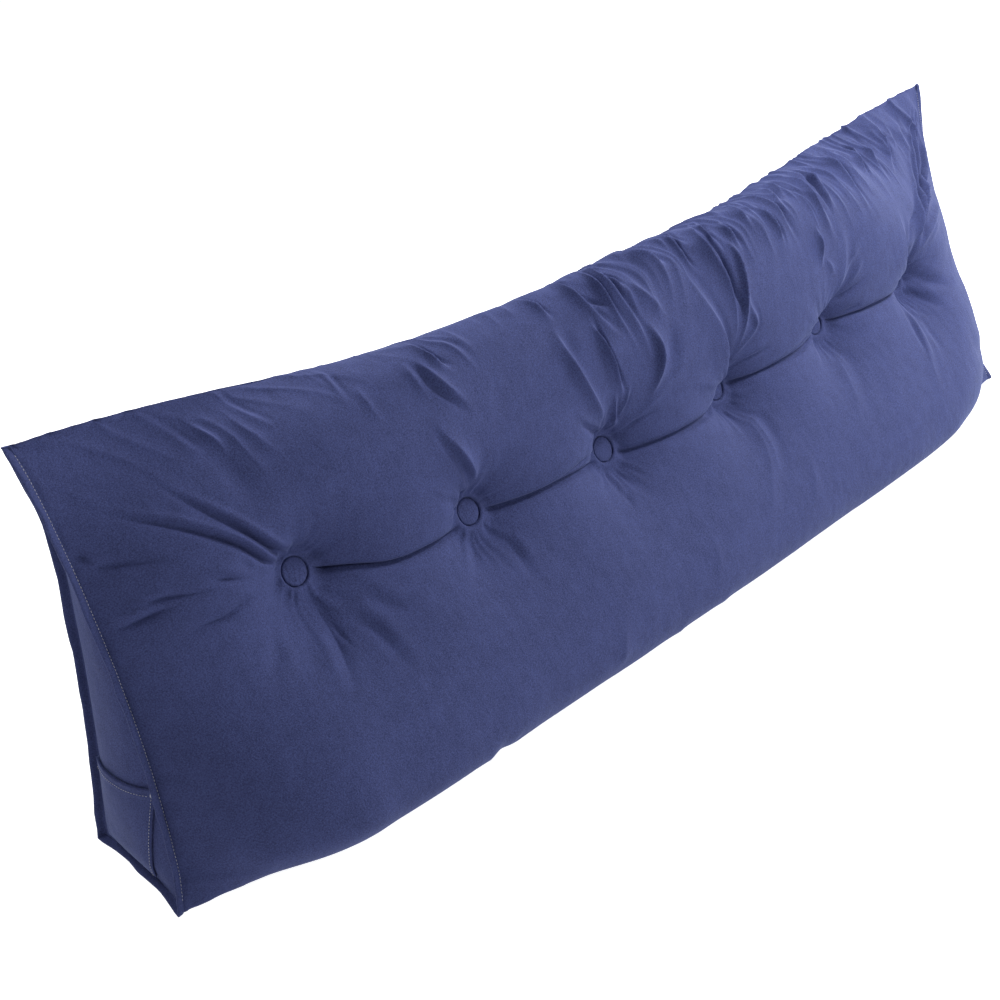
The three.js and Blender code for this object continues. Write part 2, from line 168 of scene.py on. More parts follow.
# The cloth round a button, out from its middle and up from its base.
Seat = namedtuple("Seat", "out up")
SEAT_PROFILE = [Seat(0, -0.6), Seat(17, -0.6), Seat(17.6, 1), Seat(18.1, 7.4), Seat(18.8, 8.8), Seat(21, 9.4)]
SEAT_HOLD = 19  # the cloth lies on its profile up to here
SEAT_SHIFT = 0.35  # the ring lies this much off a button's middle, closer to its right side
SEAT_LIFT = 46  # how far out the cloth that lies lower than a button is lifted to it
SEAT_RING = 18.2  # the cloth's nearest points are drawn in to this ring, for a clean edge
SEAT_DRAW = 0.7  # how far a point is drawn in at most
SEAT_EASE = 5  # how far past the ring the drawing-in dies out
SEAT_DEPTH = 80  # cloth further off a button's level than this isn't fitted to it
SEAT_OPEN = 7  # how far out from a button's rim the folds rise to their height

# The line of (x, up) places along which the cloth is pinched from button to button.
PINCH = [
    (-SEAM_END, 352), (-700, 346), (-643, 341), (-609, 331), (-577, 324), (-527, 312),
    (-459, 308), (-400, 307), (-384, 311), (-355, 309), (-206, 304), (-144, 299),
    (-118, 300), (-90, 296), (0, 291), (95, 293), (122, 301), (154, 303),
    (219, 304), (306, 304), (372, 308), (400, 312), (440, 312), (500, 310),
    (560, 307), (610, 306), (643, 310), (760, 306), (SEAM_END, 300),
]
PINCH_PIECES = 12  # straight pieces from place to place
PINCH_LEVEL = 308  # where the row that follows the pinch would lie if it were straight
ROW_SPREAD = 1.35  # how much wider apart the rows are than the columns
BACK_SPREAD = 5  # and how much wider apart they are on the back and the bottom
FINE_REACH = 42  # how far the mesh is finer on either side of the pinch and of each button
FINE_PLACES = 4001  # places at which its fineness is worked out
PINCH_BROAD = {"depth": 4, "width": 18}
PINCH_CORE = {"depth": 12, "width": 2.2}
PINCH_FADE = 40  # how far in from the outer buttons the pinch reaches its depth
PINCH_OPEN = 11  # how far out from a button's rim the core reaches its depth

# The hollow folds, each along a smooth line of (x, up) places. It sinks by depth over width, and by core
# in a crisp line in its middle. ridge is the height of the raised cloth on its left, or on its right where
# it is below zero, and peak is where along the line it is deepest.
Fold = namedtuple("Fold", "places depth width core ridge peak")
FOLDS = [
    # By the first button.
    Fold([(-857, 492), (-814, 466), (-763, 439), (-717, 409), (-687, 380), (-664, 358)], 4, 4.5, 9, 4, 0.7),
    Fold([(-773, 498), (-749, 463), (-711, 427), (-678, 394), (-646, 366)], 4, 4.5, 8, 4, 0.75),
    Fold([(-851, 375), (-823, 380), (-790, 377), (-752, 374)], 2.5, 5, 4, 1.5, 0.4),
    Fold([(-776, 387), (-745, 381), (-724, 373)], 2, 5, 4, 1.5, 0.5),
    Fold([(-888, 352), (-851, 360), (-826, 367), (-794, 369)], 3, 6, 4, 1.5, 0.4),
    Fold([(-832, 327), (-790, 340), (-763, 341), (-735, 347), (-703, 349)], 3, 6, 4, 1.5, 0.5),
    Fold([(-886, 428), (-845, 425), (-811, 418), (-790, 409)], 3, 7, 3, 1.5, 0.3),
    Fold([(-886, 449), (-867, 432)], 2, 5, 3, 1, 0.4),
    Fold([(-727, 394), (-705, 379)], 1.5, 6, 1, 0.5, 0.5),
    Fold([(-690, 310), (-719, 283), (-744, 255)], 2.5, 9, 0, 1, 0.4),
    Fold([(-633, 316), (-631, 283), (-640, 254), (-666, 205)], 3, 9, 2, -2.5, 0.45),
    Fold([(-608, 290), (-590, 265), (-581, 236), (-577, 195)], 3, 9, 1, 2, 0.4),
    Fold([(-626, 292), (-621, 250)], 1, 5, 1.5, 0, 0.4),
    Fold([(-584, 303), (-552, 277), (-530, 260)], 2, 8, 0.5, 1, 0.4),
    # The top, left of the second button.
    Fold([(-692, 516), (-688, 485), (-680, 455), (-660, 430)], 5, 15, 0, 0, 0.4),
    Fold([(-419, 365), (-398, 348), (-382, 340)], 1, 5, 2, 0, 0.6),
    Fold([(-388, 300), (-405, 280), (-430, 262)], 2, 8, 0.5, 0, 0.4),
    Fold([(-356, 290), (-352, 255), (-356, 220)], 2, 8, 0.5, 1, 0.4),
    Fold([(-478, 110), (-494, 72), (-478, 36), (-455, 12)], 3, 12, 0, 1, 0.5),
    Fold([(-470, 80), (-460, 45)], 2, 8, 0, 0, 0.5),
    # By the third button, and the second line of the pinch on its left.
    Fold([(-209, 374), (-188, 359), (-148, 337), (-132, 326)], 4, 7, 4, 0, 0.7),
    Fold([(-290, 308), (-239, 309), (-194, 312), (-172, 314)], 2, 7, 5, 0, 0.6),
    Fold([(-188, 480), (-182, 455), (-166, 430)], 4, 12, 0, 0, 0.5),
    Fold([(-97, 319), (-66, 329), (-30, 330)], 1.5, 5, 3, 0, 0.3),
    Fold([(-2, 440), (3, 415), (-8, 388), (-38, 358)], 5, 14, 0, 0, 0.5),
    Fold([(-138, 265), (-149, 236)], 1.5, 6, 0.5, 0, 0.5),
    # By the fourth button.
    Fold(
        [(143, 545), (146, 520), (147, 498), (158, 470), (158, 434), (164, 410), (156, 384)], 5, 6, 5, 0, 0.6
    ),
    Fold([(152, 326), (198, 334), (240, 334)], 1.5, 5, 3, 0, 0.3),
    Fold([(222, 305), (280, 308), (330, 312), (362, 312)], 2, 8, 5, 0, 0.6),
    # By the fifth button.
    Fold([(410, 344), (437, 348), (468, 356), (506, 363)], 3, 6, 4, -1.5, 0.3),
    Fold([(430, 318), (462, 321), (483, 318)], 2, 6, 3, 0, 0.4),
    # By the sixth button.
    Fold([(770, 427), (716, 410), (662, 398), (638, 372)], 3, 6, 3.5, 0, 0.7),
    Fold([(888, 380), (831, 395), (770, 389), (716, 381), (674, 366), (654, 348)], 4, 8, 3, 1.5, 0.7),
    Fold([(662, 311), (705, 296), (755, 271), (792, 263)], 4, 9, 1, 1, 0.3),
    Fold([(655, 300), (691, 271), (706, 238)], 4, 8, 1, 1, 0.3),
    Fold([(606, 288), (585, 236), (566, 190)], 3, 7, 0.5, 2, 0.4),
    Fold([(640, 262), (618, 190)], 2, 8, 0, 0.5, 0.5),
    Fold([(716, 200), (745, 155), (800, 130), (860, 92)], 3, 14, 0, 1.5, 0.5),
]
FOLD_PIECES = 20  # straight pieces that a fold's line is measured along
SHARE_BLUR = 3  # evens out how far along a line a place is, inside the line's bends
CORE_WIDTH = 2.4
FOLD_REACH = 4  # how many of its widths a fold reaches
RIDGE_OFF = 1.9  # how many widths off a fold's line its raised cloth lies

# The raised folds, each from its top down. It falls off over left on the side towards the pocket and over
# right on the other. hollow is how far the cloth sinks beside it on the right, or on the left where it is
# below zero. The widest ones are the pads of loose cloth that hang over the buttons.
Crest = namedtuple("Crest", "places height left right hollow peak")
CRESTS = [
    # The top, from the pocket's end to the second button.
    Crest([(-877, 590), (-867, 577), (-856, 560)], 5.5, 5.5, 3, 0, 0.3),
    Crest([(-863, 592), (-857, 580), (-845, 566), (-829, 548)], 8, 7, 4, 2.5, 0.3),
    Crest([(-808, 583), (-775, 553), (-743, 519)], 4, 7.5, 5.5, 0.5, 0.4),
    Crest([(-748, 584), (-732, 559), (-722, 542), (-711, 516), (-700, 500)], 13, 8.5, 3.5, 6, 0.3),
    Crest([(-732, 586), (-705, 559), (-690, 530), (-682, 513), (-677, 495)], 11.5, 6, 4, 0, 0.6),
    Crest([(-700, 572), (-681, 548), (-666, 520), (-657, 480), (-650, 455)], 5.5, 7.5, 5.5, 0, 0.4),
    Crest(
        [(-658, 592), (-649, 580), (-645, 559), (-638, 542), (-626, 522), (-612, 498)], 15, 7.5, 3.5, 8, 0.4
    ),
    Crest([(-655, 547), (-648, 519), (-638, 498), (-620, 460)], 4.5, 7.5, 6, 0, 0.5),
    Crest([(-592, 574), (-583, 547), (-574, 504)], 4, 6, 5.5, 0, 0.4),
    Crest([(-554, 578), (-545, 559), (-538, 538)], 11, 4.5, 3, 3, 0.4),
    Crest([(-538, 578), (-536, 559), (-532, 542), (-530, 522)], 9.5, 4, 2.5, 3, 0.4),
    Crest([(-528, 574), (-522, 553), (-522, 534), (-524, 519), (-524, 496)], 11, 4.5, 3.5, 6, 0.4),
    Crest([(-505, 520), (-502, 486), (-498, 455)], 2.5, 6, 5.5, 0, 0.4),
    Crest([(-487, 588), (-487, 545)], 4.5, 5.5, 4, 1, 0.4),
    Crest([(-458, 585), (-458, 556), (-458, 526)], 8, 5.5, 3, 3, 0.4),
    Crest([(-440, 592), (-446, 560)], 5.5, 5.5, 4, 1, 0.4),
    Crest([(-431, 526), (-431, 492), (-420, 457)], 4.5, 6, 5.5, 0, 0.5),
    Crest([(-418, 520), (-408, 489), (-386, 459), (-364, 438)], 9, 4, 8, -4, 0.45),
    Crest([(-400, 545), (-396, 512), (-390, 498), (-380, 487), (-364, 479)], 11, 7.5, 3, 5, 0.4),
    Crest([(-385, 556), (-378, 534), (-361, 518), (-346, 489), (-335, 465)], 8, 4.5, 4, 2.5, 0.3),
    Crest([(-343, 540), (-336, 513), (-328, 492)], 3.5, 6, 4.5, 0.5, 0.4),
    Crest([(-434, 450), (-421, 424), (-408, 406), (-386, 374), (-372, 345)], 8.5, 4, 10, -4, 0.6),
    Crest([(-412, 388), (-398, 357), (-380, 342)], 3, 4, 3, 0, 0.6),
    Crest([(-464, 385), (-446, 368), (-408, 345)], 1.5, 4, 3, 0, 0.6),
    Crest([(-465, 352), (-435, 344), (-408, 334)], 1.5, 4, 3, 0, 0.6),
    # The top over the second and third buttons.
    Crest([(-300, 545), (-288, 515)], 3, 6, 4.5, 0, 0.4),
    Crest([(-274, 545), (-270, 500)], 3.5, 6, 4.5, 0.5, 0.4),
    Crest([(-246, 545), (-240, 505)], 5.5, 6, 4.5, 0.5, 0.4),
    Crest([(-212, 536), (-203, 516), (-198, 498), (-186, 480)], 12, 7, 3, 5, 0.4),
    Crest([(-200, 488), (-195, 440), (-175, 398), (-148, 362), (-132, 340)], 12, 9, 6, 0, 0.3),
    Crest([(-221, 398), (-178, 360), (-145, 340), (-124, 325)], 4, 4.5, 4.5, 0, 0.6),
    Crest([(-145, 548), (-143, 518), (-133, 489), (-106, 454), (-74, 426)], 15.5, 9, 3.5, 6.5, 0.35),
    Crest([(-133, 497), (-118, 482), (-94, 470)], 8, 4, 3, 5.5, 0.5),
    Crest([(-98, 546), (-99, 519), (-92, 480), (-80, 447), (-62, 402)], 12, 6, 3, 4, 0.4),
    Crest([(-58, 575), (-75, 555), (-82, 528), (-75, 495), (-54, 434), (-48, 390)], 15.5, 9, 4, 5, 0.5),
    Crest([(-84, 521), (-66, 507), (-48, 478)], 8, 4, 3, 9, 0.5),
    Crest([(-46, 578), (-66, 548), (-60, 531), (-45, 520)], 11.5, 5.5, 3, 5.5, 0.4),
    Crest([(-139, 470), (-132, 450), (-118, 404), (-102, 366)], 11.5, 6, 3, 7, 0.5),
    Crest([(-122, 392), (-119, 365), (-114, 343), (-106, 326)], 5, 4.5, 3, 2, 0.6),
    Crest([(-93, 388), (-98, 368), (-108, 338)], 4, 4, 3, 1, 0.6),
    Crest([(-44, 450), (-31, 418), (-39, 383), (-60, 346)], 14, 6, 7, 0, 0.5),
    Crest([(8, 366), (-21, 359), (-57, 344), (-100, 324)], 3, 4, 4, -1, 0.6),
    # Over the fourth button, with the pad on its left.
    Crest([(-46, 500), (-18, 465), (6, 430)], 9, 9, 7, 0, 0.4),
    Crest([(-20, 548), (-15, 515)], 9, 6, 4.5, 0, 0.4),
    Crest([(-5, 544), (13, 519), (28, 504), (50, 484)], 18, 10.5, 3.5, 9, 0.4),
    Crest(
        [(51, 528), (60, 490), (80, 440), (106, 385), (113, 345), (105, 308), (86, 286)], 17, 42, 8, 4, 0.75
    ),
    Crest([(62, 548), (67, 525), (66, 505)], 8, 4, 3, 2, 0.5),
    Crest([(68, 556), (79, 531), (81, 501), (88, 478), (106, 458)], 12, 6, 3, 7, 0.4),
    Crest([(90, 553), (87, 531), (92, 516), (110, 494)], 11.5, 5.5, 4, 10.5, 0.4),
    Crest([(140, 542), (124, 505), (130, 478), (143, 447), (148, 398), (144, 345)], 15.5, 9, 3, 0, 0.4),
    Crest([(157, 548), (151, 519), (149, 500), (157, 480), (160, 460)], 8, 3, 4, 5, 0.4),
    Crest([(161, 500), (182, 477), (182, 456), (172, 412), (162, 375), (148, 336)], 12, 4.5, 6, 0, 0.4),
    Crest([(188, 530), (188, 504), (195, 486), (206, 462)], 12, 6, 4, 5.5, 0.4),
    Crest([(182, 432), (180, 405), (190, 380), (158, 350), (145, 330)], 6, 4.5, 4.5, 1, 0.5),
    Crest([(196, 565), (204, 540), (216, 512)], 14, 7, 4, 4, 0.4),
    Crest([(240, 346), (200, 342), (160, 330)], 2, 4, 4.5, -1, 0.5),
    # Over the fifth button, with the pad on its left.
    Crest([(244, 588), (251, 559), (240, 531), (238, 508), (248, 474)], 17.5, 9, 3, 6.5, 0.45),
    Crest([(263, 566), (265, 537), (262, 510), (276, 458)], 8, 4, 4, 5.5, 0.4),
    Crest([(275, 524), (283, 501), (295, 474), (290, 450)], 9.5, 4.5, 3, 5.5, 0.4),
    Crest([(310, 584), (302, 559), (305, 535), (318, 501), (320, 470), (328, 430)], 17.5, 8.5, 4, 5.5, 0.35),
    Crest([(332, 584), (345, 537), (336, 515), (338, 480)], 14, 7, 4, 5.5, 0.4),
    Crest([(356, 584), (366, 550), (362, 525), (350, 504)], 11.5, 5.5, 4, 5.5, 0.4),
    Crest([(366, 545), (372, 515), (384, 490)], 9.5, 4.5, 4, 2, 0.3),
    Crest([(380, 555), (392, 527), (400, 490)], 11.5, 6, 4.5, 2, 0.4),
    Crest([(396, 584), (406, 552), (416, 534), (411, 495), (412, 460), (421, 424)], 18, 9, 4.5, 4, 0.4),
    Crest([(414, 580), (425, 559), (420, 530)], 8, 4, 3, 5.5, 0.4),
    Crest([(434, 586), (449, 559), (455, 537), (455, 507), (446, 477), (437, 455)], 11.5, 3.5, 5.5, -11, 0.5),
    Crest(
        [(439, 462), (442, 428), (424, 382), (398, 356), (370, 340), (361, 310), (350, 296)],
        12, 34, 8, 4, 0.65,
    ),
    Crest([(380, 458), (377, 437), (368, 404)], 9, 5.5, 4.5, 0, 0.5),
    Crest([(378, 418), (392, 404), (404, 388)], 3, 4.5, 4, 0, 0.5),
    Crest([(456, 562), (474, 547), (496, 516), (503, 500), (498, 450)], 14, 7, 4, 9, 0.4),
    Crest([(480, 408), (452, 398), (420, 370)], 4, 4.5, 4.5, 0, 0.4),
    Crest([(482, 393), (462, 377), (440, 360)], 3.5, 4.5, 4.5, 0, 0.5),
    # From the fifth button to the right end.
    Crest([(496, 560), (519, 547), (535, 533), (542, 505), (534, 470), (530, 428)], 14, 7, 4, 10.5, 0.4),
    Crest([(538, 545), (547, 522), (552, 500)], 8, 4, 3, 2, 0.5),
    Crest([(539, 578), (556, 556), (571, 547), (586, 534), (597, 510)], 14, 7, 4, 9, 0.4),
    Crest([(553, 550), (565, 528), (571, 510), (566, 480)], 11.5, 6, 4.5, 2, 0.4),
    Crest([(596, 545), (609, 525), (613, 508), (604, 485)], 15.5, 7.5, 3, 10.5, 0.5),
    Crest([(601, 565), (622, 528), (624, 504), (601, 462)], 9.5, 4.5, 4, 2, 0.4),
    Crest([(611, 578), (638, 559), (660, 516), (664, 490), (655, 455)], 14, 7.5, 4.5, 4, 0.4),
    Crest([(636, 590), (650, 574), (692, 553), (724, 535)], 14, 7, 3.5, 9, 0.5),
    Crest([(699, 584), (716, 562), (730, 519), (719, 489), (680, 456)], 15.5, 7.5, 4, 4, 0.4),
    Crest([(708, 542), (721, 519), (720, 498)], 9.5, 4.5, 3, 2, 0.5),
    Crest([(731, 580), (747, 556), (762, 519), (758, 485)], 9, 7, 4.5, 2, 0.4),
    Crest([(746, 590), (779, 577), (800, 560)], 11.5, 5.5, 4, 4, 0.4),
    Crest([(756, 576), (779, 559), (798, 522), (796, 495)], 9, 7.5, 5.5, 2, 0.4),
    Crest([(793, 591), (813, 577), (840, 556)], 9.5, 4.5, 3, 5.5, 0.5),
    Crest([(790, 576), (825, 556), (849, 531), (862, 510)], 12, 6, 3, 7.5, 0.5),
    Crest([(835, 591), (855, 571), (875, 548), (886, 510)], 12, 6, 4.5, 4, 0.5),
    Crest([(888, 489), (873, 471), (831, 442), (770, 422), (700, 400), (650, 362)], 12, 5.5, 6, -5.5, 0.4),
    Crest([(888, 398), (861, 410), (801, 413), (740, 408), (690, 390), (652, 352)], 5, 4.5, 4.5, 0, 0.5),
    Crest([(888, 374), (831, 383), (770, 379), (700, 362), (660, 335)], 5, 5.5, 4.5, 0, 0.5),
    Crest([(816, 371), (755, 365), (690, 345)], 3, 5.5, 5.5, 0, 0.5),
    Crest([(868, 560), (858, 515), (828, 470), (760, 415), (700, 374), (664, 345)], 9.5, 4.5, 3, 6.5, 0.6),
    Crest([(850, 540), (822, 490), (770, 440), (712, 392), (668, 355)], 8, 4, 3, 6.5, 0.6),
    Crest([(815, 500), (775, 460), (720, 414), (676, 372), (655, 346)], 8, 4, 3, 5, 0.6),
    # The pad on the left of the sixth button.
    Crest([(628, 440), (614, 405), (610, 372), (612, 345), (612, 318), (602, 292)], 13, 40, 9, 5, 0.65),
    # The lower half.
    Crest([(139, 280), (139, 242), (127, 212), (74, 148), (15, 89)], 3, 13, 10, 1, 0.3),
    Crest([(156, 283), (142, 212), (112, 165)], 2, 8, 8, 1, 0.3),
    Crest([(206, 195), (186, 148), (160, 118)], 2, 12, 10, 0, 0.5),
    Crest([(-49, 165), (-73, 107)], 2, 12, 10, 0, 0.5),
    Crest([(-245, 155), (-270, 107), (-273, 70)], 3, 14, 14, 0, 0.6),
    Crest([(394, 292), (386, 262), (354, 205), (320, 165)], 3, 12, 10, 1, 0.3),
    Crest([(612, 290), (601, 255), (572, 192), (556, 140)], 4, 12, 8, 1, 0.3),
    Crest([(-138, 90), (-143, 59), (-110, 20)], 1.5, 12, 10, 0.5, 0.5),
    Crest([(-49, 95), (-49, 65), (-14, 18)], 1.5, 12, 10, 0.5, 0.5),
    Crest([(-514, 100), (-514, 65), (-490, 25)], 1.5, 12, 10, 0, 0.5),
    Crest([(-805, 100), (-814, 65), (-805, 15)], 3, 12, 10, 0, 0.5),
]
CREST_POWER = 1.25
CREST_REACH = 3
HOLLOW_OFF = 2.2  # how many widths off a raised fold's line its hollow lies
TOP_START = 536  # a raised fold that starts over this runs on over the top by so much
TOP_RUN = 36
TOP_TURN = 0.6  # and keeps this share of its lean there
TOP_CALM = {"share": 0.93, "from": 494, "over": 68}  # how much lower the raised folds are along the top

# Loose cloth that lies in no one fold: ripples, each wide and long by so much. They run from one x to another
# and from one place round the section to another, and fade in over soft. Smooth ones have a sharp of 0, and
# those with thin crests have 1.
Ripple = namedtuple("Ripple", "height wide long first last low high soft sharp")
RIPPLES = [
    Ripple(1.3, 26, 110, -60, 900, 400, 640, 90, 0),
    Ripple(4.2, 30, 330, -170, 900, 430, 640, 60, 1),
    Ripple(3.2, 18, 240, -100, 900, 450, 640, 60, 1),
    Ripple(1.8, 40, 110, -900, -100, 470, 680, 80, 1),
    Ripple(1.6, 85, 180, -900, 900, 30, 290, 60, 0),
    Ripple(1.8, 95, 80, -900, 900, 20, 620, 60, 0),
    Ripple(0.3, 26, 34, -900, 900, 20, 620, 60, 0),
    Ripple(1.6, 80, 160, -900, 900, 620, 1050, 60, 0),
    Ripple(0.6, 24, 90, -900, 900, 620, 1050, 60, 0),
]
TOP_LEAN = {"by": 75, "from": 480, "over": 120}  # how far the ripples lean over towards the pocket at the top
RIPPLE_BEND = {"by": 14, "wide": 120, "long": 90}
THIN_CREST = {"power": 3, "sunk": 0.3}  # what sharpens a ripple, and lowers it again to lie about the surface

# Puckers along the end seams, and the dent that the top and bottom seams lie in.
SEAM_PUCKERS = {"height": 2, "pitch": 17, "long": 60, "reach": 26, "open": 6}
SEAM_DENT = {"depth": 2.2, "width": 3, "uneven": 0.5, "pitch": 9, "long": 40}

# How far in from the end seams the relief reaches its height, and how it ends before the bottom's back seam
# and starts again by its front one.
END_FADE = 5
REST_FADE = {"before": 10, "over": 20, "front": 10}

# The lip round an end panel, across it: out from its stitching, and in towards the end panel.
LipPlace = namedtuple("LipPlace", "out down")
LIP_PROFILE = [
    LipPlace(0.8, 0.7),
    LipPlace(2.2, 0.1),
    LipPlace(5, -0.3),
    LipPlace(8.4, -0.2),
    LipPlace(9.7, 0.4),
    LipPlace(10.2, 1.5),
    LipPlace(9.7, 2.6),
    LipPlace(8, 3.1),
    LipPlace(4.5, 3.2),
    LipPlace(1.5, 3.2),
    LipPlace(0, 3.8),
]
LIP_WAVE = {"width": 1.1, "tilt": math.radians(11), "pitch": 46}
LIP_TUCK = {"foot": 0.14, "top": 0.2}  # shares of the front's rows over which the right lip turns in

# The end panels. They bulge, flatter towards the top ear and the foot, with loose waves.
PANEL_BULGE = 15
PANEL_BELLY = {"power": 2.6, "narrow": 150, "foot": 30}
PANEL_INSET = 0.02
PANEL_FOOT_ROWS = 14  # rows over which the rungs turn from the bottom seam's line to level ones
PanelWave = namedtuple("PanelWave", "seed height high wide")
PANEL_WAVES = [PanelWave(90, 1.8, 70, 90), PanelWave(92, 0.5, 22, 60)]

# A covered button: its turned body's share of the height, and the rings of the dome on top of it, each in
# from the one before by a share of the radius and up by a share of the height.
Ring = namedtuple("Ring", "inset rise")
BUTTON_BODY = 0.72
BUTTON_DOME = [Ring(0.1, 0.1), Ring(0.2, 0.08), Ring(0.3, 0.05), Ring(0.22, 0.01)]
BUTTON_SIDES = 40
BUTTON_RIM = 1.9

# The pocket, in the plane of the left end panel. sag lowers the middle of its top, and droop its back corner.
POCKET = {"back": -12, "front": -126, "tilt": 14, "bottom": 14, "top": 128, "sag": 5, "droop": 15}
POCKET_THICKNESS = 2
POCKET_STANDOFF = 0.8
POCKET_PLACES = 49
POCKET_PUFF = {"height": 1.6, "to": 0.96}  # how far it stands out in its middle, up to a share of its height
# The hem's height, what it adds to the thickness, and the groove of its stitching, so far over its lower edge.
HEM = {"height": 10, "extra": 1.0, "ease": 1.6, "stitched": 3, "groove": 0.5, "groove_width": 1.2}

# Where the end panels and the pocket lie on the flat cloth, clear of what goes round the section.
PANEL_FLAT = (0, 2 * AROUND)
POCKET_FLAT = (700, 2 * AROUND)

# The topstitching: how far the thread stands out from the cloth and the pocket, and where its lines run.
# Those on the pocket lie between shares of its width or height.
STITCH_LIFT = 0.35
THREAD_PROUD = 0.6
LIP_LINE = LipPlace(1.4, 0.5)
LIP_LINE_ENDS = 4  # rows that it leaves free at either end
POCKET_LINE_IN = 0.025  # how far in its edge stitches lie, as a share of its width
HEM_LINE = {"from": 0.04, "along": 0.9}
LINE_SHARES = {"from": 0.015, "to": 0.985, "places": 60}
TACK = {"places": 9, "threads": 5, "pitch": 0.5, "proud": 0.5}

# The numbers that each kind of unevenness starts its random draws from. The ripples' own are 0 and up.
SEED = {"puckers": 20, "seams": 50, "dent": 60, "lip_turn": 70, "lip_width": 80, "bend": 100}

# The camera, fitted to the corners of the pillow in a frame of 1000 by 1000 pixels.
PHOTO_PIXELS = 1000
FOCAL_PIXELS = 1588.3
SENSOR = 36
CAMERA_PLACE = (-1.5910, -1.1901, 1.2303)
CAMERA_TURN = {"azimuth": math.radians(-46.53), "elevation": math.radians(29.35), "roll": math.radians(-1.22)}

# The studio, in metres and watts.
Lamp = namedtuple("Lamp", "name place target size power")
LAMPS = [
    Lamp("right", (3.4, -0.4, 1.0), (0.5, 0, 0.2), 0.7, 51),
    Lamp("right, behind", (3.0, 0.9, 1.3), (0.5, 0, 0.3), 0.7, 24),
    Lamp("right, high", (2.6, 0.0, 2.4), (0.4, 0, 0.3), 0.7, 20),
    Lamp("front right", (1.2, -2.4, 1.6), (0.5, 0, 0.2), 0.8, 42),
    Lamp("top right", (1.3, -0.6, 2.0), (0.6, 0, 0.3), 0.6, 52),
    Lamp("top left", (-2.2, 0.2, 2.2), (-0.3, 0, 0.3), 1.0, 14),
    Lamp("behind", (0.3, 1.6, 2.2), (0.1, 0, 0.3), 0.7, 50),
    Lamp("back left", (-1.4, 1.6, 2.4), (0, 0, 0.3), 0.9, 26),
]


def smooth(share):
    """A step from 0 to 1 with level ends."""
    share = np.clip(share, 0, 1)
    return share * share * (3 - 2 * share)


def fullness(distance, rise):
    """How full the section is at distances from one end, for the lengths over which it rises."""
    share = np.clip(distance / rise, 0, 1)
    slow = np.clip((rise - QUICK_RISE["length"]) / (SLOW_RISE["length"] - QUICK_RISE["length"]), 0, 1)
    power = QUICK_RISE["power"] + (SLOW_RISE["power"] - QUICK_RISE["power"]) * slow
    return np.sin(np.pi / 2 * share) ** power


def spline(knots, shares):
    """Points at the shares along smooth curves. knots is curves by knots by coordinates."""
    count = knots.shape[1] - 1
    place = np.clip(shares * count, 0, count - 1e-9)
    first = place.astype(int)
    along = (place - first)[..., None]
    before = 2 * knots[:, :1] - knots[:, 1:2]
    after = 2 * knots[:, -1:] - knots[:, -2:-1]
    ends = np.concatenate([before, knots, after], axis=1)
    a, b, c, d = (np.take_along_axis(ends, (first + k)[..., None], axis=1) for k in range(4))
    ab, bc, cd = (np.sqrt(np.linalg.norm(q - p, axis=-1, keepdims=True)) for p, q in ((a, b), (b, c), (c, d)))
    leave = (c - b) + bc * ((b - a) / ab - (c - a) / (ab + bc))
    arrive = (c - b) + bc * ((d - c) / cd - (d - b) / (bc + cd))
    curve = 3 * (c - b) - 2 * leave - arrive + along * (leave + arrive - 2 * (c - b))
    return b + along * (leave + along * curve)


def wave(seed, first, wide, second, long):
    """Smooth noise from -1 to 1 at places (first, second), about wide and long from bump to bump."""
    draws = np.random.default_rng(seed)
    u = (first - first.min()) / wide + draws.uniform()
    v = (second - second.min()) / long + draws.uniform()
    lattice = draws.uniform(-1, 1, (int(u.max()) + 2, int(v.max()) + 2))
    i, j = u.astype(int), v.astype(int)
    p, q = smooth(u - i), smooth(v - j)
    low = lattice[i, j] * (1 - p) + lattice[i + 1, j] * p
    high = lattice[i, j + 1] * (1 - p) + lattice[i + 1, j + 1] * p
    return low * (1 - q) + high * q


def end_line(edge, shares):
    """Points of an end panel's edge, with x as the distance in from the end."""
    start, end = edge.start, edge.end
    span = math.hypot(end.y - start.y, end.z - start.z)
    out = edge.crown * np.sin(np.pi * shares)
    drawn = edge.pull * np.maximum(0, np.sin(np.pi * shares**edge.skew)) ** EDGE_POWER
    return np.stack(
        [
            drawn - (start.out + (end.out - start.out) * shares),
            start.y + (end.y - start.y) * shares - (end.z - start.z) / span * out,
            start.z + (end.z - start.z) * shares + (end.y - start.y) / span * out,
        ],
        axis=-1,
    )


def panel(section, edge, x, shares):
    """A panel's points at columns x and shares of the way across it, before it is tufted."""
    rows = np.array(section, float)
    end = end_line(edge, np.linspace(0, 1, len(section)))
    rise = fullness(SEAM_END + x[:, None], rows[:, 2]) * fullness(SEAM_END - x[:, None], rows[:, 3])
    bow = BOW * (1 - (x / SEAM_END) ** 2)
    pull = np.sign(x) * np.abs(x / SEAM_END) ** PULL_REACH
    knots = np.stack(
        [
            x[:, None] - pull[:, None] * end[:, 0],
            end[:, 1] + (rows[:, 0] - end[:, 1]) * rise - bow[:, None],
            end[:, 2] + (rows[:, 1] - end[:, 2]) * rise,
        ],
        axis=-1,
    )
    return spline(knots, shares)


def pinch_up(x):
    """How far up the front the pinch lies at x."""
    knots = np.array(PINCH, float)
    fine = spline(knots[None], np.linspace(0, 1, PINCH_PIECES * len(PINCH))[None])[0]
    return np.interp(x, fine[:, 0], fine[:, 1])


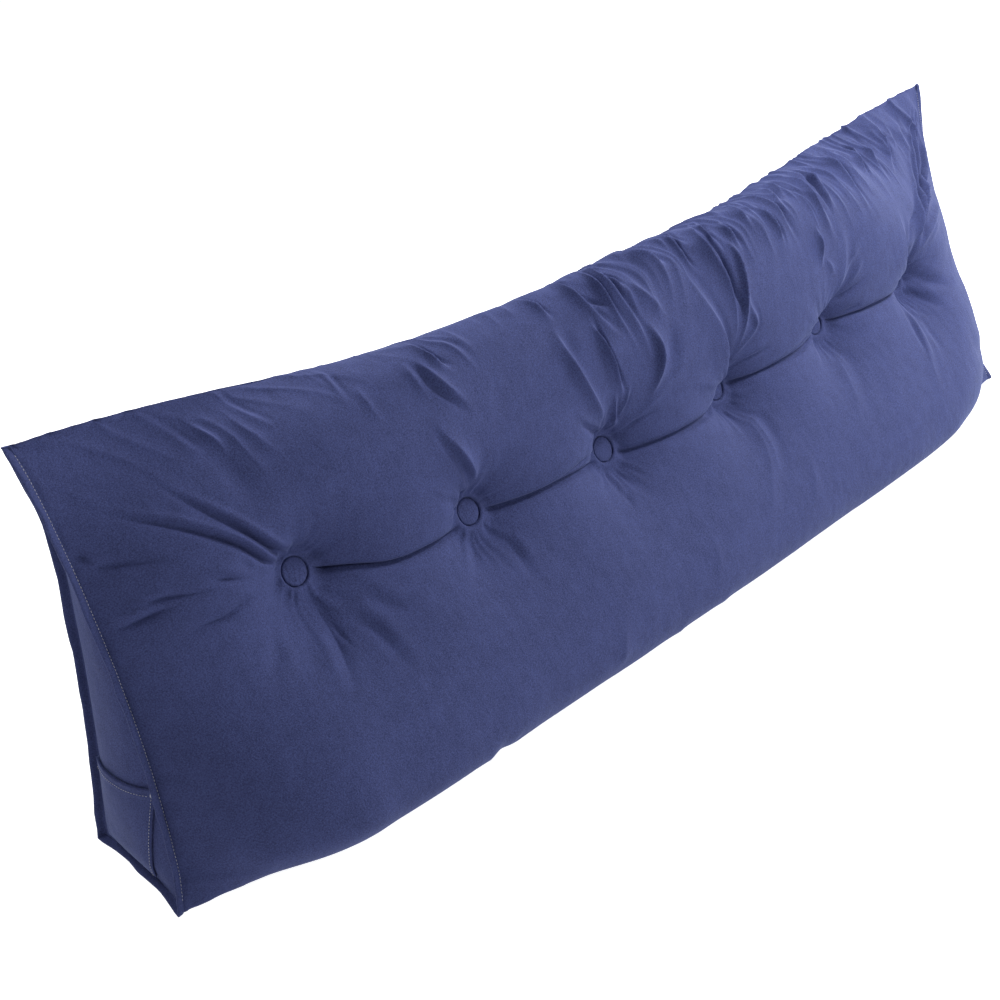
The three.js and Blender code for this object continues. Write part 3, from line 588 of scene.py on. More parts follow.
def tuft_pull(x, up):
    """How far the tufts draw the front in."""
    depth = np.zeros_like(x)
    for tuft in TUFTS:
        away = np.hypot(x - tuft.x, up - tuft.up)
        left = (1 - (x - tuft.x) / np.maximum(away, 1)) / 2
        steep = tuft.steep * (STEEP_RIGHT + (1 - STEEP_RIGHT) * left)
        climb = np.maximum(0, away - SEAT_REACH)
        far, close = np.exp(-climb / tuft.reach), np.exp(-climb / STEEP_REACH)
        depth += tuft.depth * ((1 - steep) * far + steep * close)
    return depth


def pinch_pull(x, up):
    """How far the cloth is drawn in along the pinch between the buttons."""
    first, last = TUFTS[0].x, TUFTS[-1].x
    inside = smooth((x - first) / PINCH_FADE) * smooth((last - x) / PINCH_FADE)
    off = np.abs(up - pinch_up(x))
    broad = PINCH_BROAD["depth"] * np.exp(-((off / PINCH_BROAD["width"]) ** 2))
    core = PINCH_CORE["depth"] * np.exp(-off / PINCH_CORE["width"])
    nearest = np.min([np.abs(x - tuft.x) for tuft in TUFTS], axis=0)
    open_seat = smooth((nearest - BUTTON_RADIUS) / PINCH_OPEN)
    return inside * (broad + core * open_seat)


def near_line(places, reach, x, up):
    """Which places (x, up) lie within reach of a line, then for those: how far off, on which side, and how
    far along it."""
    line = spline(np.array(places, float)[None], np.linspace(0, 1, FOLD_PIECES + 1)[None])[0]
    low, high = line.min(axis=0) - reach, line.max(axis=0) + reach
    near = (x > low[0]) & (x < high[0]) & (up > low[1]) & (up < high[1])
    from_x = x[near] - line[:-1, :1]
    from_up = up[near] - line[:-1, 1:]
    way_x, way_up = np.diff(line, axis=0).T[..., None]
    along = np.clip((from_x * way_x + from_up * way_up) / (way_x**2 + way_up**2), 0, 1)
    off_x, off_up = from_x - along * way_x, from_up - along * way_up
    away = np.hypot(off_x, off_up)
    closest = away.min(axis=0)
    turn = np.sign(way_x * off_up - way_up * off_x)
    side = np.take_along_axis(turn, away.argmin(axis=0)[None], axis=0)[0]
    weight = np.exp((closest - away) / SHARE_BLUR)
    share = (weight * (np.arange(FOLD_PIECES)[:, None] + along)).sum(axis=0) / weight.sum(axis=0)
    return near, closest, side, share / FOLD_PIECES


def over_the_top(places):
    """A line's places, run on over the top where it starts near it."""
    (x, up), (next_x, next_up) = places[:2]
    if up < TOP_START:
        return places
    return [(x + TOP_TURN * TOP_RUN * (x - next_x) / (up - next_up), up + TOP_RUN), *places]


def swell(share, peak):
    """From nothing at a line's start to 1 at its peak and back to nothing at its end."""
    return smooth(share / peak) * smooth((1 - share) / (1 - peak))


def fold_relief(fold, x, up):
    """The height of one hollow fold's cloth at places (x, up)."""
    height = np.zeros_like(x)
    near, closest, side, share = near_line(fold.places, FOLD_REACH * fold.width, x, up)
    trough = fold.depth * np.exp(-((closest / fold.width) ** 2)) + fold.core * np.exp(-closest / CORE_WIDTH)
    beside = side * closest * math.copysign(1, fold.ridge) - RIDGE_OFF * fold.width
    raised = abs(fold.ridge) * np.exp(-((beside / fold.width) ** 2))
    height[near] = swell(share, fold.peak) * (raised - trough)
    return height


def crest_relief(crest, x, up):
    """The height of one raised fold's cloth at places (x, up)."""
    height = np.zeros_like(x)
    reach = CREST_REACH * max(crest.left, crest.right)
    near, closest, side, share = near_line(over_the_top(crest.places), reach, x, up)
    width = np.where(side > 0, crest.right, crest.left)
    raised = crest.height * np.exp(-((closest / width) ** CREST_POWER))
    sunk_side = math.copysign(1, crest.hollow)
    sunk_width = crest.right if crest.hollow > 0 else crest.left
    beside = side * closest * sunk_side / sunk_width - HOLLOW_OFF
    sunk = abs(crest.hollow) * np.exp(-(beside**2))
    height[near] = swell(share, crest.peak) * (raised - sunk)
    return height


def pucker_relief(tuft, seed, x, up):
    """Fine gathers that fan out from under a button."""
    away = np.hypot(x - tuft.x, up - tuft.up)
    angle = np.arctan2(up - tuft.up, x - tuft.x)
    draws = np.random.default_rng(seed)
    gathers = np.zeros_like(x)
    for count in PUCKER_ROUNDS:
        bend = draws.uniform(-PUCKERS["twist"], PUCKERS["twist"]) * away / PUCKERS["twist_over"]
        gathers += np.sin(count * (angle + bend) + draws.uniform(0, 2 * np.pi)) / count
    beyond = np.maximum(0, away - PUCKERS["from"]) / PUCKERS["reach"]
    reach = smooth((away - BUTTON_RADIUS) / PUCKERS["open"]) * np.exp(-(beyond**2))
    return PUCKERS["height"] * tuft.puckers * gathers * reach


def seat_cloth(points):
    """Fits the cloth round each button: level under it, then up its side."""
    across_way = np.array([1, 0, 0])
    up_way = np.cross(across_way, BUTTON_FACING)
    profile = np.array(SEAT_PROFILE, float)
    for number, tuft in enumerate(TUFTS, 1):
        low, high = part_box(f"button_{number}")
        middle = (np.array(low) + np.array(high)) / 2 - Made.place
        base = middle / MM - BUTTON_FACING * BUTTON_HEIGHT / 2
        off = points - base + SEAT_SHIFT * across_way
        out = np.hypot(off @ across_way, off @ up_way)
        rise = off @ BUTTON_FACING
        near = (out < SEAT_LIFT) & (np.abs(rise) < SEAT_DEPTH)
        off, out, rise = off[near], out[near], rise[near]
        beyond = out - SEAT_RING
        fading = 1 - smooth((np.abs(beyond) - SEAT_DRAW) / SEAT_EASE)
        drawn = -np.clip(beyond, -SEAT_DRAW, SEAT_DRAW) * fading
        outward = (off - rise[:, None] * BUTTON_FACING) / np.maximum(out, 0.1)[:, None]
        level = np.interp(out + drawn, profile[:, 0], profile[:, 1])
        blend = np.where(rise > level, tuft.clear, SEAT_LIFT)
        held = 1 - smooth((out - SEAT_HOLD) / (blend - SEAT_HOLD))
        points[near] += drawn[:, None] * outward + ((level - rise) * held)[:, None] * BUTTON_FACING


def ripple_relief(x, around):
    """Loose ripples over the whole cover."""
    height = np.zeros_like(x)
    for seed, row in enumerate(RIPPLES):
        inside = smooth((x - row.first) / row.soft) * smooth((row.last - x) / row.soft)
        inside *= smooth((around - row.low) / row.soft) * smooth((row.high - around) / row.soft)
        lean = TOP_LEAN["by"] * smooth((around - TOP_LEAN["from"]) / TOP_LEAN["over"])
        bend = wave(SEED["bend"] + seed, x, RIPPLE_BEND["wide"], around, RIPPLE_BEND["long"])
        noise = wave(seed, x + lean + RIPPLE_BEND["by"] * bend, row.wide, around, row.long)
        if row.sharp:
            noise = (1 - np.abs(noise)) ** THIN_CREST["power"] - THIN_CREST["sunk"]
        height += row.height * inside * noise
    return height


def seam_relief(x, around):
    """Puckers that run in from the end seams, and a dent along the top and bottom seams."""
    height = np.zeros_like(x)
    for seed, inward in enumerate((SEAM_END + x, SEAM_END - x), SEED["seams"]):
        reach = np.exp(-inward / SEAM_PUCKERS["reach"]) * smooth(inward / SEAM_PUCKERS["open"])
        noise = wave(seed, around, SEAM_PUCKERS["pitch"], inward, SEAM_PUCKERS["long"])
        height += SEAM_PUCKERS["height"] * reach * noise
    noise = wave(SEED["dent"], x, SEAM_DENT["pitch"], around, SEAM_DENT["long"])
    depth = SEAM_DENT["depth"] * (1 + SEAM_DENT["uneven"] * noise)
    for place in (0, FRONT_LENGTH, FRONT_LENGTH + BACK_LENGTH, AROUND):
        height -= depth * np.exp(-np.abs(around - place) / SEAM_DENT["width"])
    return height


def columns(x, grid):
    """x spread over the rows of a grid of that shape."""
    return x[:, None] * np.ones_like(grid)


def unit(vectors):
    return vectors / np.maximum(np.linalg.norm(vectors, axis=-1, keepdims=True), 1e-9)


def section_normals(grid):
    """Outward normals in the section's own plane."""
    way = np.gradient(grid, axis=1)
    return unit(np.stack([np.zeros_like(way[..., 0]), -way[..., 2], way[..., 1]], axis=-1))


def surface_normals(grid):
    return unit(np.cross(np.gradient(grid, axis=0), np.gradient(grid, axis=1)))


def uneven_steps(first, last, step, spots):
    """Places from first to last, a step apart, or half of that near the spots."""
    fine = np.linspace(first, last, FINE_PLACES)
    near = np.max([np.exp(-(((fine - spot) / FINE_REACH) ** 4)) for spot in spots], axis=0)
    run = np.concatenate([[0], np.cumsum(1 + near[1:])]) * (fine[1] - fine[0])
    return np.interp(np.linspace(0, run[-1], round(run[-1] / step) + 1), run, fine)


def front_shares(x, step):
    """Shares up the front in rows that follow the pinch, so that its crisp line runs along one of them."""
    level = uneven_steps(0, FRONT_LENGTH, step, [PINCH_LEVEL]) / FRONT_LENGTH
    pinch = level[np.argmin(np.abs(level - PINCH_LEVEL / FRONT_LENGTH))]
    lift = pinch_up(x)[:, None] / FRONT_LENGTH - pinch
    return level + lift * np.minimum(level / pinch, (1 - level) / (1 - pinch))


class Made:
    """What one piece's making leaves for the next ones."""

    cover = None
    ends = None
    place = None


class Cover:
    """The cover's outer surface as a closed grid, columns along x by rows round the section."""

    def __init__(self, step, back_step):
        self.x = uneven_steps(-SEAM_END, SEAM_END, step, [tuft.x for tuft in TUFTS])
        shares = front_shares(self.x, ROW_SPREAD * step)
        self.front_rows = shares.shape[1] - 1
        self.back_rows = round(BACK_LENGTH / back_step)
        self.bottom_rows = round(BOTTOM_LENGTH / back_step)
        ones = np.ones((len(self.x), 1))
        back = ones * np.linspace(0, 1, self.back_rows + 1)
        bottom = ones * np.linspace(0, 1, self.bottom_rows + 1)
        front = panel(FRONT_SECTION, FRONT_EDGE, self.x, shares)
        up = shares * FRONT_LENGTH
        wide = columns(self.x, up)
        front -= section_normals(front) * (tuft_pull(wide, up) + pinch_pull(wide, up))[..., None]
        self.grid = np.concatenate(
            [
                front,
                panel(BACK_SECTION, BACK_EDGE, self.x, back)[:, 1:],
                panel(BOTTOM_SECTION, BOTTOM_EDGE, self.x, bottom)[:, 1:-1],
            ],
            axis=1,
        )
        self.around = np.concatenate(
            [up, FRONT_LENGTH + BACK_LENGTH * back[:, 1:], AROUND - BOTTOM_LENGTH * (1 - bottom[:, 1:-1])],
            axis=1,
        )
        self.wide = columns(self.x, self.around)

    def relief(self):
        """The height of all folds, gathers, ripples and seams over the plain surface."""
        x, around = self.wide, self.around
        height = ripple_relief(x, around) + seam_relief(x, around)
        for fold in FOLDS:
            height += fold_relief(fold, x, around)
        calm = 1 - TOP_CALM["share"] * smooth((around - TOP_CALM["from"]) / TOP_CALM["over"])
        for crest in CRESTS:
            height += calm * crest_relief(crest, x, around)
        for seed, tuft in enumerate(TUFTS, SEED["puckers"]):
            height += pucker_relief(tuft, seed, x, around)
            away = np.hypot(x - tuft.x, around - tuft.up)
            height *= smooth((away - BUTTON_RADIUS) / SEAT_OPEN)
        ends = smooth((SEAM_END - np.abs(x)) / END_FADE)
        resting = smooth((around - FRONT_LENGTH - BACK_LENGTH + REST_FADE["before"]) / REST_FADE["over"])
        resting *= smooth((AROUND - around) / REST_FADE["front"])
        return height * ends * (1 - resting)

    def finish(self):
        """Raises the relief, and keeps the cover on the floor."""
        seat_cloth(self.grid)
        self.grid = self.grid + surface_normals(self.grid) * self.relief()[..., None]
        self.grid[..., 2] = np.maximum(self.grid[..., 2], 0)


def sample(grid, first, second):
    """Points between a grid's points, at fractional row and column numbers."""
    i = np.clip(first.astype(int), 0, grid.shape[0] - 2)
    j = np.clip(second.astype(int), 0, grid.shape[1] - 2)
    p, q = (first - i)[..., None], (second - j)[..., None]
    low = grid[i, j] * (1 - p) + grid[i + 1, j] * p
    high = grid[i, j + 1] * (1 - p) + grid[i + 1, j + 1] * p
    return low * (1 - q) + high * q


class End:
    """The lip and the end panel at one end of the cover. side is -1 at the left end and 1 at the right."""

    def __init__(self, cover, side):
        self.side = side
        self.cover = cover
        self.seam = cover.grid[0 if side < 0 else -1]
        way = np.roll(self.seam, -1, axis=0) - np.roll(self.seam, 1, axis=0)
        self.normals = unit(np.stack([np.zeros(len(way)), -way[:, 2], way[:, 1]], axis=-1))
        steps = np.linalg.norm(np.diff(self.seam, axis=0, append=self.seam[:1]), axis=1)
        self.round = np.concatenate([[0], np.cumsum(steps)[:-1]])
        level = np.zeros_like(self.round)
        waves = wave(SEED["lip_turn"] + side, self.round, LIP_WAVE["pitch"], level, 1)
        widths = wave(SEED["lip_width"] + side, self.round, LIP_WAVE["pitch"] / 2, level, 1)
        up_front = np.clip(np.arange(len(way)) / cover.front_rows, 0, 1)
        tucked = (side > 0) * smooth(up_front / LIP_TUCK["foot"]) * smooth((1 - up_front) / LIP_TUCK["top"])
        self.turn = LIP_TURN + (RIGHT_LIP_TURN - LIP_TURN) * tucked + LIP_WAVE["tilt"] * waves
        self.width = 1 + LIP_WAVE["width"] / LIP_WIDTH * widths
        self.lip = np.stack([self.lip_ring(place.out, place.down) for place in LIP_PROFILE])
        self.panel = self.make_panel()

    def lip_ring(self, out, down):
        """A ring of points on the lip, out from its stitching and down towards the end panel."""
        along = np.array([self.side, 0, 0])
        cos, sin = np.cos(self.turn)[:, None], np.sin(self.turn)[:, None]
        ring = self.seam + (out * self.width)[:, None] * (cos * along + sin * self.normals)
        ring = ring + down * (sin * along - cos * self.normals)
        ring[:, 2] = np.maximum(ring[:, 2], 0)
        return ring

    def make_panel(self):
        """The end panel as level rungs from back edge to front edge, from the floor to the top ear."""
        rows, backs = self.cover.front_rows, self.cover.back_rows
        root = self.lip[-1]
        front = root[: rows + 1]
        self.back = root[rows : rows + backs + 1][::-1]
        bottom = np.concatenate([root[rows + backs :], root[:1]])
        heights = np.linspace(0, 1, len(self.back))
        spread = np.interp(front[:, 2], self.back[:, 2], heights) * (len(self.back) - 1)
        low = np.clip(spread.astype(int), 0, len(self.back) - 2)
        part = (spread - low)[:, None]
        back = self.back[low] * (1 - part) + self.back[low + 1] * part
        shares = np.linspace(0, 1, len(bottom))
        inset = PANEL_INSET + (1 - PANEL_INSET) * shares
        rungs = back[:, None] + (front - back)[:, None] * inset[:, None]
        start = smooth(np.arange(rows + 1) / PANEL_FOOT_ROWS)[:, None, None]
        rungs = rungs * start + (rungs - rungs[:1] + bottom) * (1 - start)
        widths = np.linalg.norm(front - back, axis=1)[:, None]
        belly = (1 - np.abs(2 * shares - 1) ** PANEL_BELLY["power"]) * smooth(widths / PANEL_BELLY["narrow"])
        belly = belly * (1 - np.exp(-front[:, 2:] / PANEL_BELLY["foot"]))
        y, z = rungs[..., 1], rungs[..., 2]
        loose = sum(row.height * wave(row.seed + self.side, z, row.high, y, row.wide) for row in PANEL_WAVES)
        rungs[..., 0] += self.side * belly * (PANEL_BULGE + loose)
        rungs[-1] = front[-1]
        return rungs

    def at(self, y, z):
        """Points of the end panel at places (y, z) in the section's plane."""
        heights = self.panel[:, 0, 2]
        rung = np.interp(z, heights, np.arange(len(heights)))
        first = sample(self.panel, rung, np.zeros_like(rung))
        last = sample(self.panel, rung, np.full_like(rung, self.panel.shape[1] - 1.0))
        share = (y - first[..., 1]) / (last[..., 1] - first[..., 1])
        point = sample(self.panel, rung, np.clip(share, 0, 1) * (self.panel.shape[1] - 1))
        point[..., 1] = y
        return point


class Skin:
    """Grids of points that are sewn into one mesh, with each corner's place on the flat cloth."""

    def __init__(self):
        self.points = []
        self.faces = []
        self.flats = []
        self.count = 0

    def add(self, points):
        """Adds points, and gives their numbers in the same shape."""
        numbers = np.arange(points.size // 3).reshape(points.shape[:-1]) + self.count
        self.points.append(points.reshape(-1, 3))
        self.count += numbers.size
        return numbers

    def weave(self, numbers, flat):
        """Quads over a grid of point numbers. flat is each point's place on the cloth."""
        for found, grid in ((self.faces, numbers), (self.flats, flat)):
            corners = (grid[:-1, :-1], grid[1:, :-1], grid[1:, 1:], grid[:-1, 1:])
            found.append(np.stack(corners, axis=2).reshape(-1, 4, *grid.shape[2:]))

    def zip(self, low, low_flat, high, high_flat):
        """Triangles between two lines of points that run the same way. The lines may differ in number."""
        faces, flats = [], []
        i = j = 0
        while i < len(low) - 1 or j < len(high) - 1:
            next_low, next_high = (i + 1) / (len(low) - 1), (j + 1) / (len(high) - 1)
            if j == len(high) - 1 or (i < len(low) - 1 and next_low <= next_high):
                faces.append((low[i], low[i + 1], high[j]))
                flats.append((low_flat[i], low_flat[i + 1], high_flat[j]))
                i += 1
            else:
                faces.append((low[i], high[j + 1], high[j]))
                flats.append((low_flat[i], high_flat[j + 1], high_flat[j]))
                j += 1
        self.faces.append(np.array(faces))
        self.flats.append(np.array(flats))

    def mesh(self, name, place):
        """One closed mesh in metres, moved by place, with its doubles merged and its faces turned out."""
        made = bpy.data.meshes.new(name)
        points = np.concatenate(self.points) * MM + place
        faces = [face for group in self.faces for face in group.tolist()]
        made.from_pydata(points.tolist(), [], faces)
        flat = np.concatenate([group.reshape(-1, 2) for group in self.flats]) * MM
        made.uv_layers.new(name="cloth").data.foreach_set("uv", flat.ravel())
        work = bmesh.new()
        work.from_mesh(made)
        bmesh.ops.remove_doubles(work, verts=work.verts, dist=1e-6)
        bmesh.ops.recalc_face_normals(work, faces=work.faces)
        work.to_mesh(made)
        work.free()
        made.shade_smooth()
        return made


def frame_place(cover):
    """What moves the pillow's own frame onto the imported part, in metres."""
    low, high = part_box("pillow_body")
    own = cover.grid.reshape(-1, 3)
    middle = (own.min(axis=0) + own.max(axis=0)) / 2 * MM
    return np.array([0, (low[1] + high[1]) / 2 - middle[1], 0])


class Socket:
    """A node's output in a material, with the sums that the finishes need."""

    def __init__(self, tree, output):
        self.tree = tree
        self.output = output

    def sum(self, operation, *values):
        node = self.tree.nodes.new("ShaderNodeMath")
        node.operation = operation
        for slot, value in zip(node.inputs, values):
            plug(self.tree, slot, value)
        return Socket(self.tree, node.outputs[0])

    def __add__(self, other):
        return self.sum("ADD", self, other)

    def __radd__(self, other):
        return self.sum("ADD", other, self)

    def __sub__(self, other):
        return self.sum("SUBTRACT", self, other)

    def __rsub__(self, other):
        return self.sum("SUBTRACT", other, self)

    def __mul__(self, other):
        return self.sum("MULTIPLY", self, other)

    def __rmul__(self, other):
        return self.sum("MULTIPLY", other, self)


def plug(tree, slot, value):
    """Links a socket to an input, or sets the input to a plain value."""
    if isinstance(value, Socket):
        tree.links.new(value.output, slot)
    else:
        slot.default_value = value


class Finish:
    """A material, and the one method that adds its nodes."""

    def __init__(self, name):
        self.material = bpy.data.materials.new(name)
        self.material.use_nodes = True
        self.tree = self.material.node_tree
        self.shader = self.tree.nodes["Principled BSDF"]

    def node(self, kind, settings, inputs, output=0):
        """Adds a node, sets it up, then its inputs by name or number, and gives one of its outputs."""
        node = self.tree.nodes.new(kind)
        for key, value in settings.items():
            setattr(node, key, value)
        for key, value in inputs.items():
            plug(self.tree, node.inputs[key], value)
        return Socket(self.tree, node.outputs[output])

    def noise(self, coordinates, scale, detail, roughness):
        inputs = {"Vector": coordinates, "Scale": scale, "Detail": detail, "Roughness": roughness}
        return self.node("ShaderNodeTexNoise", {}, inputs)

    def stretch(self, coordinates, scale):
        return self.node("ShaderNodeMapping", {}, {"Vector": coordinates, "Scale": scale})

    def mix(self, factor, low, high):
        """One colour turning into another."""
        settings = {"data_type": "RGBA"}
        inputs = {0: factor, 6: low, 7: high}
        return self.node("ShaderNodeMix", settings, inputs, output=2)

    def bump(self, height, distance, strength, normal=None):
        inputs = {"Height": height, "Distance": distance, "Strength": strength}
        if normal is not None:
            inputs["Normal"] = normal
        return self.node("ShaderNodeBump", {}, inputs)

    def set(self, **values):
        """Sets the shader's inputs. A name's spaces are written as underscores."""
        for key, value in values.items():
            plug(self.tree, self.shader.inputs[key.replace("_", " ")], value)


def shade(colour, factor):
    """A colour made darker or lighter."""
    return (*[channel * factor for channel in colour], 1)


def cloth_finish(name, sizes, coordinates_from="UV"):
    """Brushed cotton: matt, with a short nap, a fine uneven grain and a slight mottle."""
    finish = Finish(name)
    kind = "ShaderNodeTexCoord"
    flat = finish.node(kind, {}, {}, output=coordinates_from)
    solid = finish.node(kind, {}, {}, output="Object")
    across, along = 1300, 420  # how many times a metre the yarns vary
    warp = finish.noise(finish.stretch(flat, (across, along, 1)), scale=1, detail=2, roughness=0.6)
    weft = finish.noise(finish.stretch(flat, (along, across, 1)), scale=1, detail=2, roughness=0.6)
    grain = warp + weft - 1
    nap = finish.noise(solid, scale=560, detail=3, roughness=0.75) - 0.5
    mottle = finish.noise(solid, scale=45, detail=3, roughness=0.6) - 0.5
    tone = 0.5 + 1.4 * grain + 2 * nap + 0.5 * mottle
    spread = 0.38  # how much darker and lighter the cloth gets
    dark, light = shade(sizes.cloth_colour, 1 - spread), shade(sizes.cloth_colour, 1 + spread)
    colour = finish.mix(tone, dark, light)
    crumple = finish.noise(finish.stretch(flat, (60, 34, 1)), scale=1, detail=3, roughness=0.55)
    soft = finish.bump(crumple, distance=0.0022, strength=0.5)
    normal = finish.bump(grain + 0.8 * nap, distance=0.0003, strength=0.55, normal=soft)
    finish.set(Base_Color=colour, Roughness=0.86 + 0.12 * nap, Normal=normal)
    finish.set(Specular_IOR_Level=0.12, Sheen_Weight=sizes.nap_sheen, Sheen_Roughness=0.3)
    finish.set(Sheen_Tint=shade(sizes.sheen_colour, 1))
    return finish.material


def thread_finish(sizes):
    """Spun sewing thread."""
    finish = Finish(SPUN_THREAD)
    solid = finish.node("ShaderNodeTexCoord", {}, {}, output="Object")
    twist = finish.noise(solid, scale=2600, detail=2, roughness=0.6)
    colour = finish.mix(twist, shade(sizes.thread_colour, 0.75), shade(sizes.thread_colour, 1.1))
    normal = finish.bump(twist, distance=0.0002, strength=0.5)
    finish.set(Base_Color=colour, Roughness=0.6, Normal=normal, Sheen_Weight=0.2)
    return finish.material


def show(name, mesh, material):
    """A new object at the origin with one material."""
    piece = bpy.data.objects.new(name, mesh)
    bpy.context.scene.collection.objects.link(piece)
    mesh.materials.clear()
    mesh.materials.append(material)
    return piece


def make_cover(sizes):
    """The cover: front, back, bottom, end panels and their lips, as one closed skin."""
    cover = Cover(sizes.cloth_step / MM, BACK_SPREAD * sizes.cloth_step / MM)
    Made.place = frame_place(cover)
    cover.finish()
    ends = [End(cover, -1), End(cover, 1)]
    Made.cover, Made.ends = cover, ends
    skin = Skin()
    tube = skin.add(cover.grid)
    tube = np.concatenate([tube, tube[:, :1]], axis=1)
    around = np.concatenate([cover.around, np.full((len(cover.x), 1), AROUND)], axis=1)
    wide = columns(cover.x, around)
    skin.weave(tube, np.stack([wide, around], axis=-1))
    for end in ends:
        column = 0 if end.side < 0 else -1
        lip = skin.add(end.lip)
        rings = np.concatenate([tube[column][None], np.concatenate([lip, lip[:, :1]], axis=1)])
        reach = np.array([0, *(place.out for place in LIP_PROFILE)])[:, None] * end.side
        flat = np.stack([reach + wide[column], around[column] + 0 * reach], axis=-1)
        skin.weave(rings, flat)
        sew_end_panel(skin, end, lip[-1])
    pillow = show("pillow_cover", skin.mesh("pillow_cover", Made.place), bpy.data.materials[COTTON])
    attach(pillow, "root")
    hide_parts("pillow_body")


def sew_end_panel(skin, end, root):
    """Sews an end panel into the root of its lip."""
    rows, backs = end.cover.front_rows, end.cover.back_rows
    grid = end.panel
    inner = skin.add(grid[1:-1, :-1])
    top = np.full((1, grid.shape[1]), root[rows])
    bottom = np.concatenate([root[rows + backs :], root[:1]])[None]
    middle = np.concatenate([inner, root[1:rows, None]], axis=1)
    numbers = np.concatenate([bottom, middle, top])
    flat = grid[..., 1:] + PANEL_FLAT
    skin.weave(numbers, flat)
    back = root[rows : rows + backs + 1][::-1]
    skin.zip(back, end.back[:, 1:] + PANEL_FLAT, numbers[:, 0], flat[:, 0])


def button_mesh():
    """A covered button: a low dome with a round rim, at the origin and facing +Z."""
    low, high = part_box("button_1")
    radius = (high[0] - low[0]) / 2
    thick = BUTTON_HEIGHT * MM
    bpy.ops.object.select_all(action="DESELECT")
    bpy.ops.mesh.primitive_cylinder_add(vertices=BUTTON_SIDES, radius=radius, depth=BUTTON_BODY * thick)
    piece = bpy.context.object
    piece.location = (0, 0, BUTTON_BODY / 2 * thick)
    bpy.ops.object.transform_apply(location=True, rotation=False, scale=False)
    bpy.ops.object.mode_set(mode="EDIT")
    bpy.ops.mesh.select_all(action="DESELECT")
    work = bmesh.from_edit_mesh(piece.data)
    work.select_mode = {"FACE"}
    top = max(work.faces, key=lambda face: face.calc_center_median().z)
    top.select = True
    work.select_flush_mode()
    bmesh.update_edit_mesh(piece.data)
    for ring in BUTTON_DOME:
        bpy.ops.mesh.inset(thickness=ring.inset * radius)
        bpy.ops.transform.translate(value=(0, 0, ring.rise * thick))
    bpy.ops.mesh.poke()
    bpy.ops.object.mode_set(mode="OBJECT")
    rim = piece.modifiers.new("rim", "BEVEL")
    rim.width = BUTTON_RIM * MM
    rim.segments = 4
    rim.limit_method = "ANGLE"
    bpy.ops.object.modifier_apply(modifier="rim")
    finer = piece.modifiers.new("finer", "SUBSURF")
    finer.levels = finer.render_levels = 1
    bpy.ops.object.modifier_apply(modifier="finer")
    bpy.ops.object.shade_smooth()
    mesh = piece.data.copy()
    bpy.data.objects.remove(piece)
    return mesh


def make_buttons():
    """Six covered buttons, each where the part has its own."""
    plain = button_mesh()
    facing = Vector(BUTTON_FACING)
    turn = Vector((0, 0, 1)).rotation_difference(facing).to_matrix().to_4x4()
    for number in range(1, len(TUFTS) + 1):
        node = f"button_{number}"
        low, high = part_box(node)
        middle = (Vector(low) + Vector(high)) / 2
        mesh = plain.copy()
        seat = Matrix.Translation(middle - facing * BUTTON_HEIGHT / 2 * MM)
        mesh.transform(seat @ turn @ Matrix.Rotation(number, 4, "Z"))
        piece = show(f"covered_button_{number}", mesh, bpy.data.materials[BUTTON_COTTON])
        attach(piece, "root")
        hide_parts(node)


def pocket_place(across_share, up_share):
    """The pocket's places (y, z), from its front edge to its back edge and from its bottom to its top."""
    back = POCKET["back"] - POCKET["tilt"] * (1 - up_share)
    y = POCKET["front"] + (back - POCKET["front"]) * across_share
    sag = (POCKET["sag"] * np.sin(np.pi * across_share) + POCKET["droop"] * across_share**2.5) * up_share
    return y, POCKET["bottom"] + (POCKET["top"] - POCKET["bottom"]) * up_share - sag


def pocket_point(across_share, up_share, out):
    """A point over the left end panel, out from it by so much."""
    y, z = pocket_place(across_share, up_share)
    point = Made.ends[0].at(y, z)
    point[..., 0] -= out
    return point


def make_pocket():
    """The patch pocket: a sheet on the left end panel, thicker along its hem and in a little at its edges."""
    shares = np.linspace(0, 1, POCKET_PLACES)
    over, up = np.meshgrid(shares, shares, indexing="ij")
    below_top = (1 - up) * (POCKET["top"] - POCKET["bottom"])
    hem = HEM["extra"] * (1 - smooth((below_top - HEM["height"]) / HEM["ease"]))
    bulge = np.sin(np.pi * over) * np.sin(np.pi * np.minimum(up / POCKET_PUFF["to"], 1))
    puff = POCKET_PUFF["height"] * np.sqrt(np.maximum(0, bulge))
    off_line = (below_top - HEM["height"] + HEM["stitched"]) / HEM["groove_width"]
    groove = HEM["groove"] * np.exp(-(off_line**2))
    skin = Skin()
    flat = np.stack(pocket_place(over, up), axis=-1) + POCKET_FLAT
    inner, outer = POCKET_STANDOFF, POCKET_STANDOFF + POCKET_THICKNESS + hem + puff - groove
    layers = [skin.add(pocket_point(over, up, out)) for out in (inner, outer)]
    for numbers in layers:
        skin.weave(numbers, flat)
    for edge in (np.s_[0, :], np.s_[-1, :], np.s_[:, 0], np.s_[:, -1]):
        rim = np.stack([numbers[edge] for numbers in layers])
        skin.weave(rim, np.stack([flat[edge], flat[edge] + (0, POCKET_THICKNESS)]))
    pocket = show("pocket", skin.mesh("pocket", Made.place), bpy.data.materials[COTTON])
    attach(pocket, "root")
    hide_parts("pocket_left")


def part_way(run, points, distance):
    """A point or a way at a distance along a line, from those at the distances in run."""
    return np.array([np.interp(distance, run, points[:, axis]) for axis in range(3)])


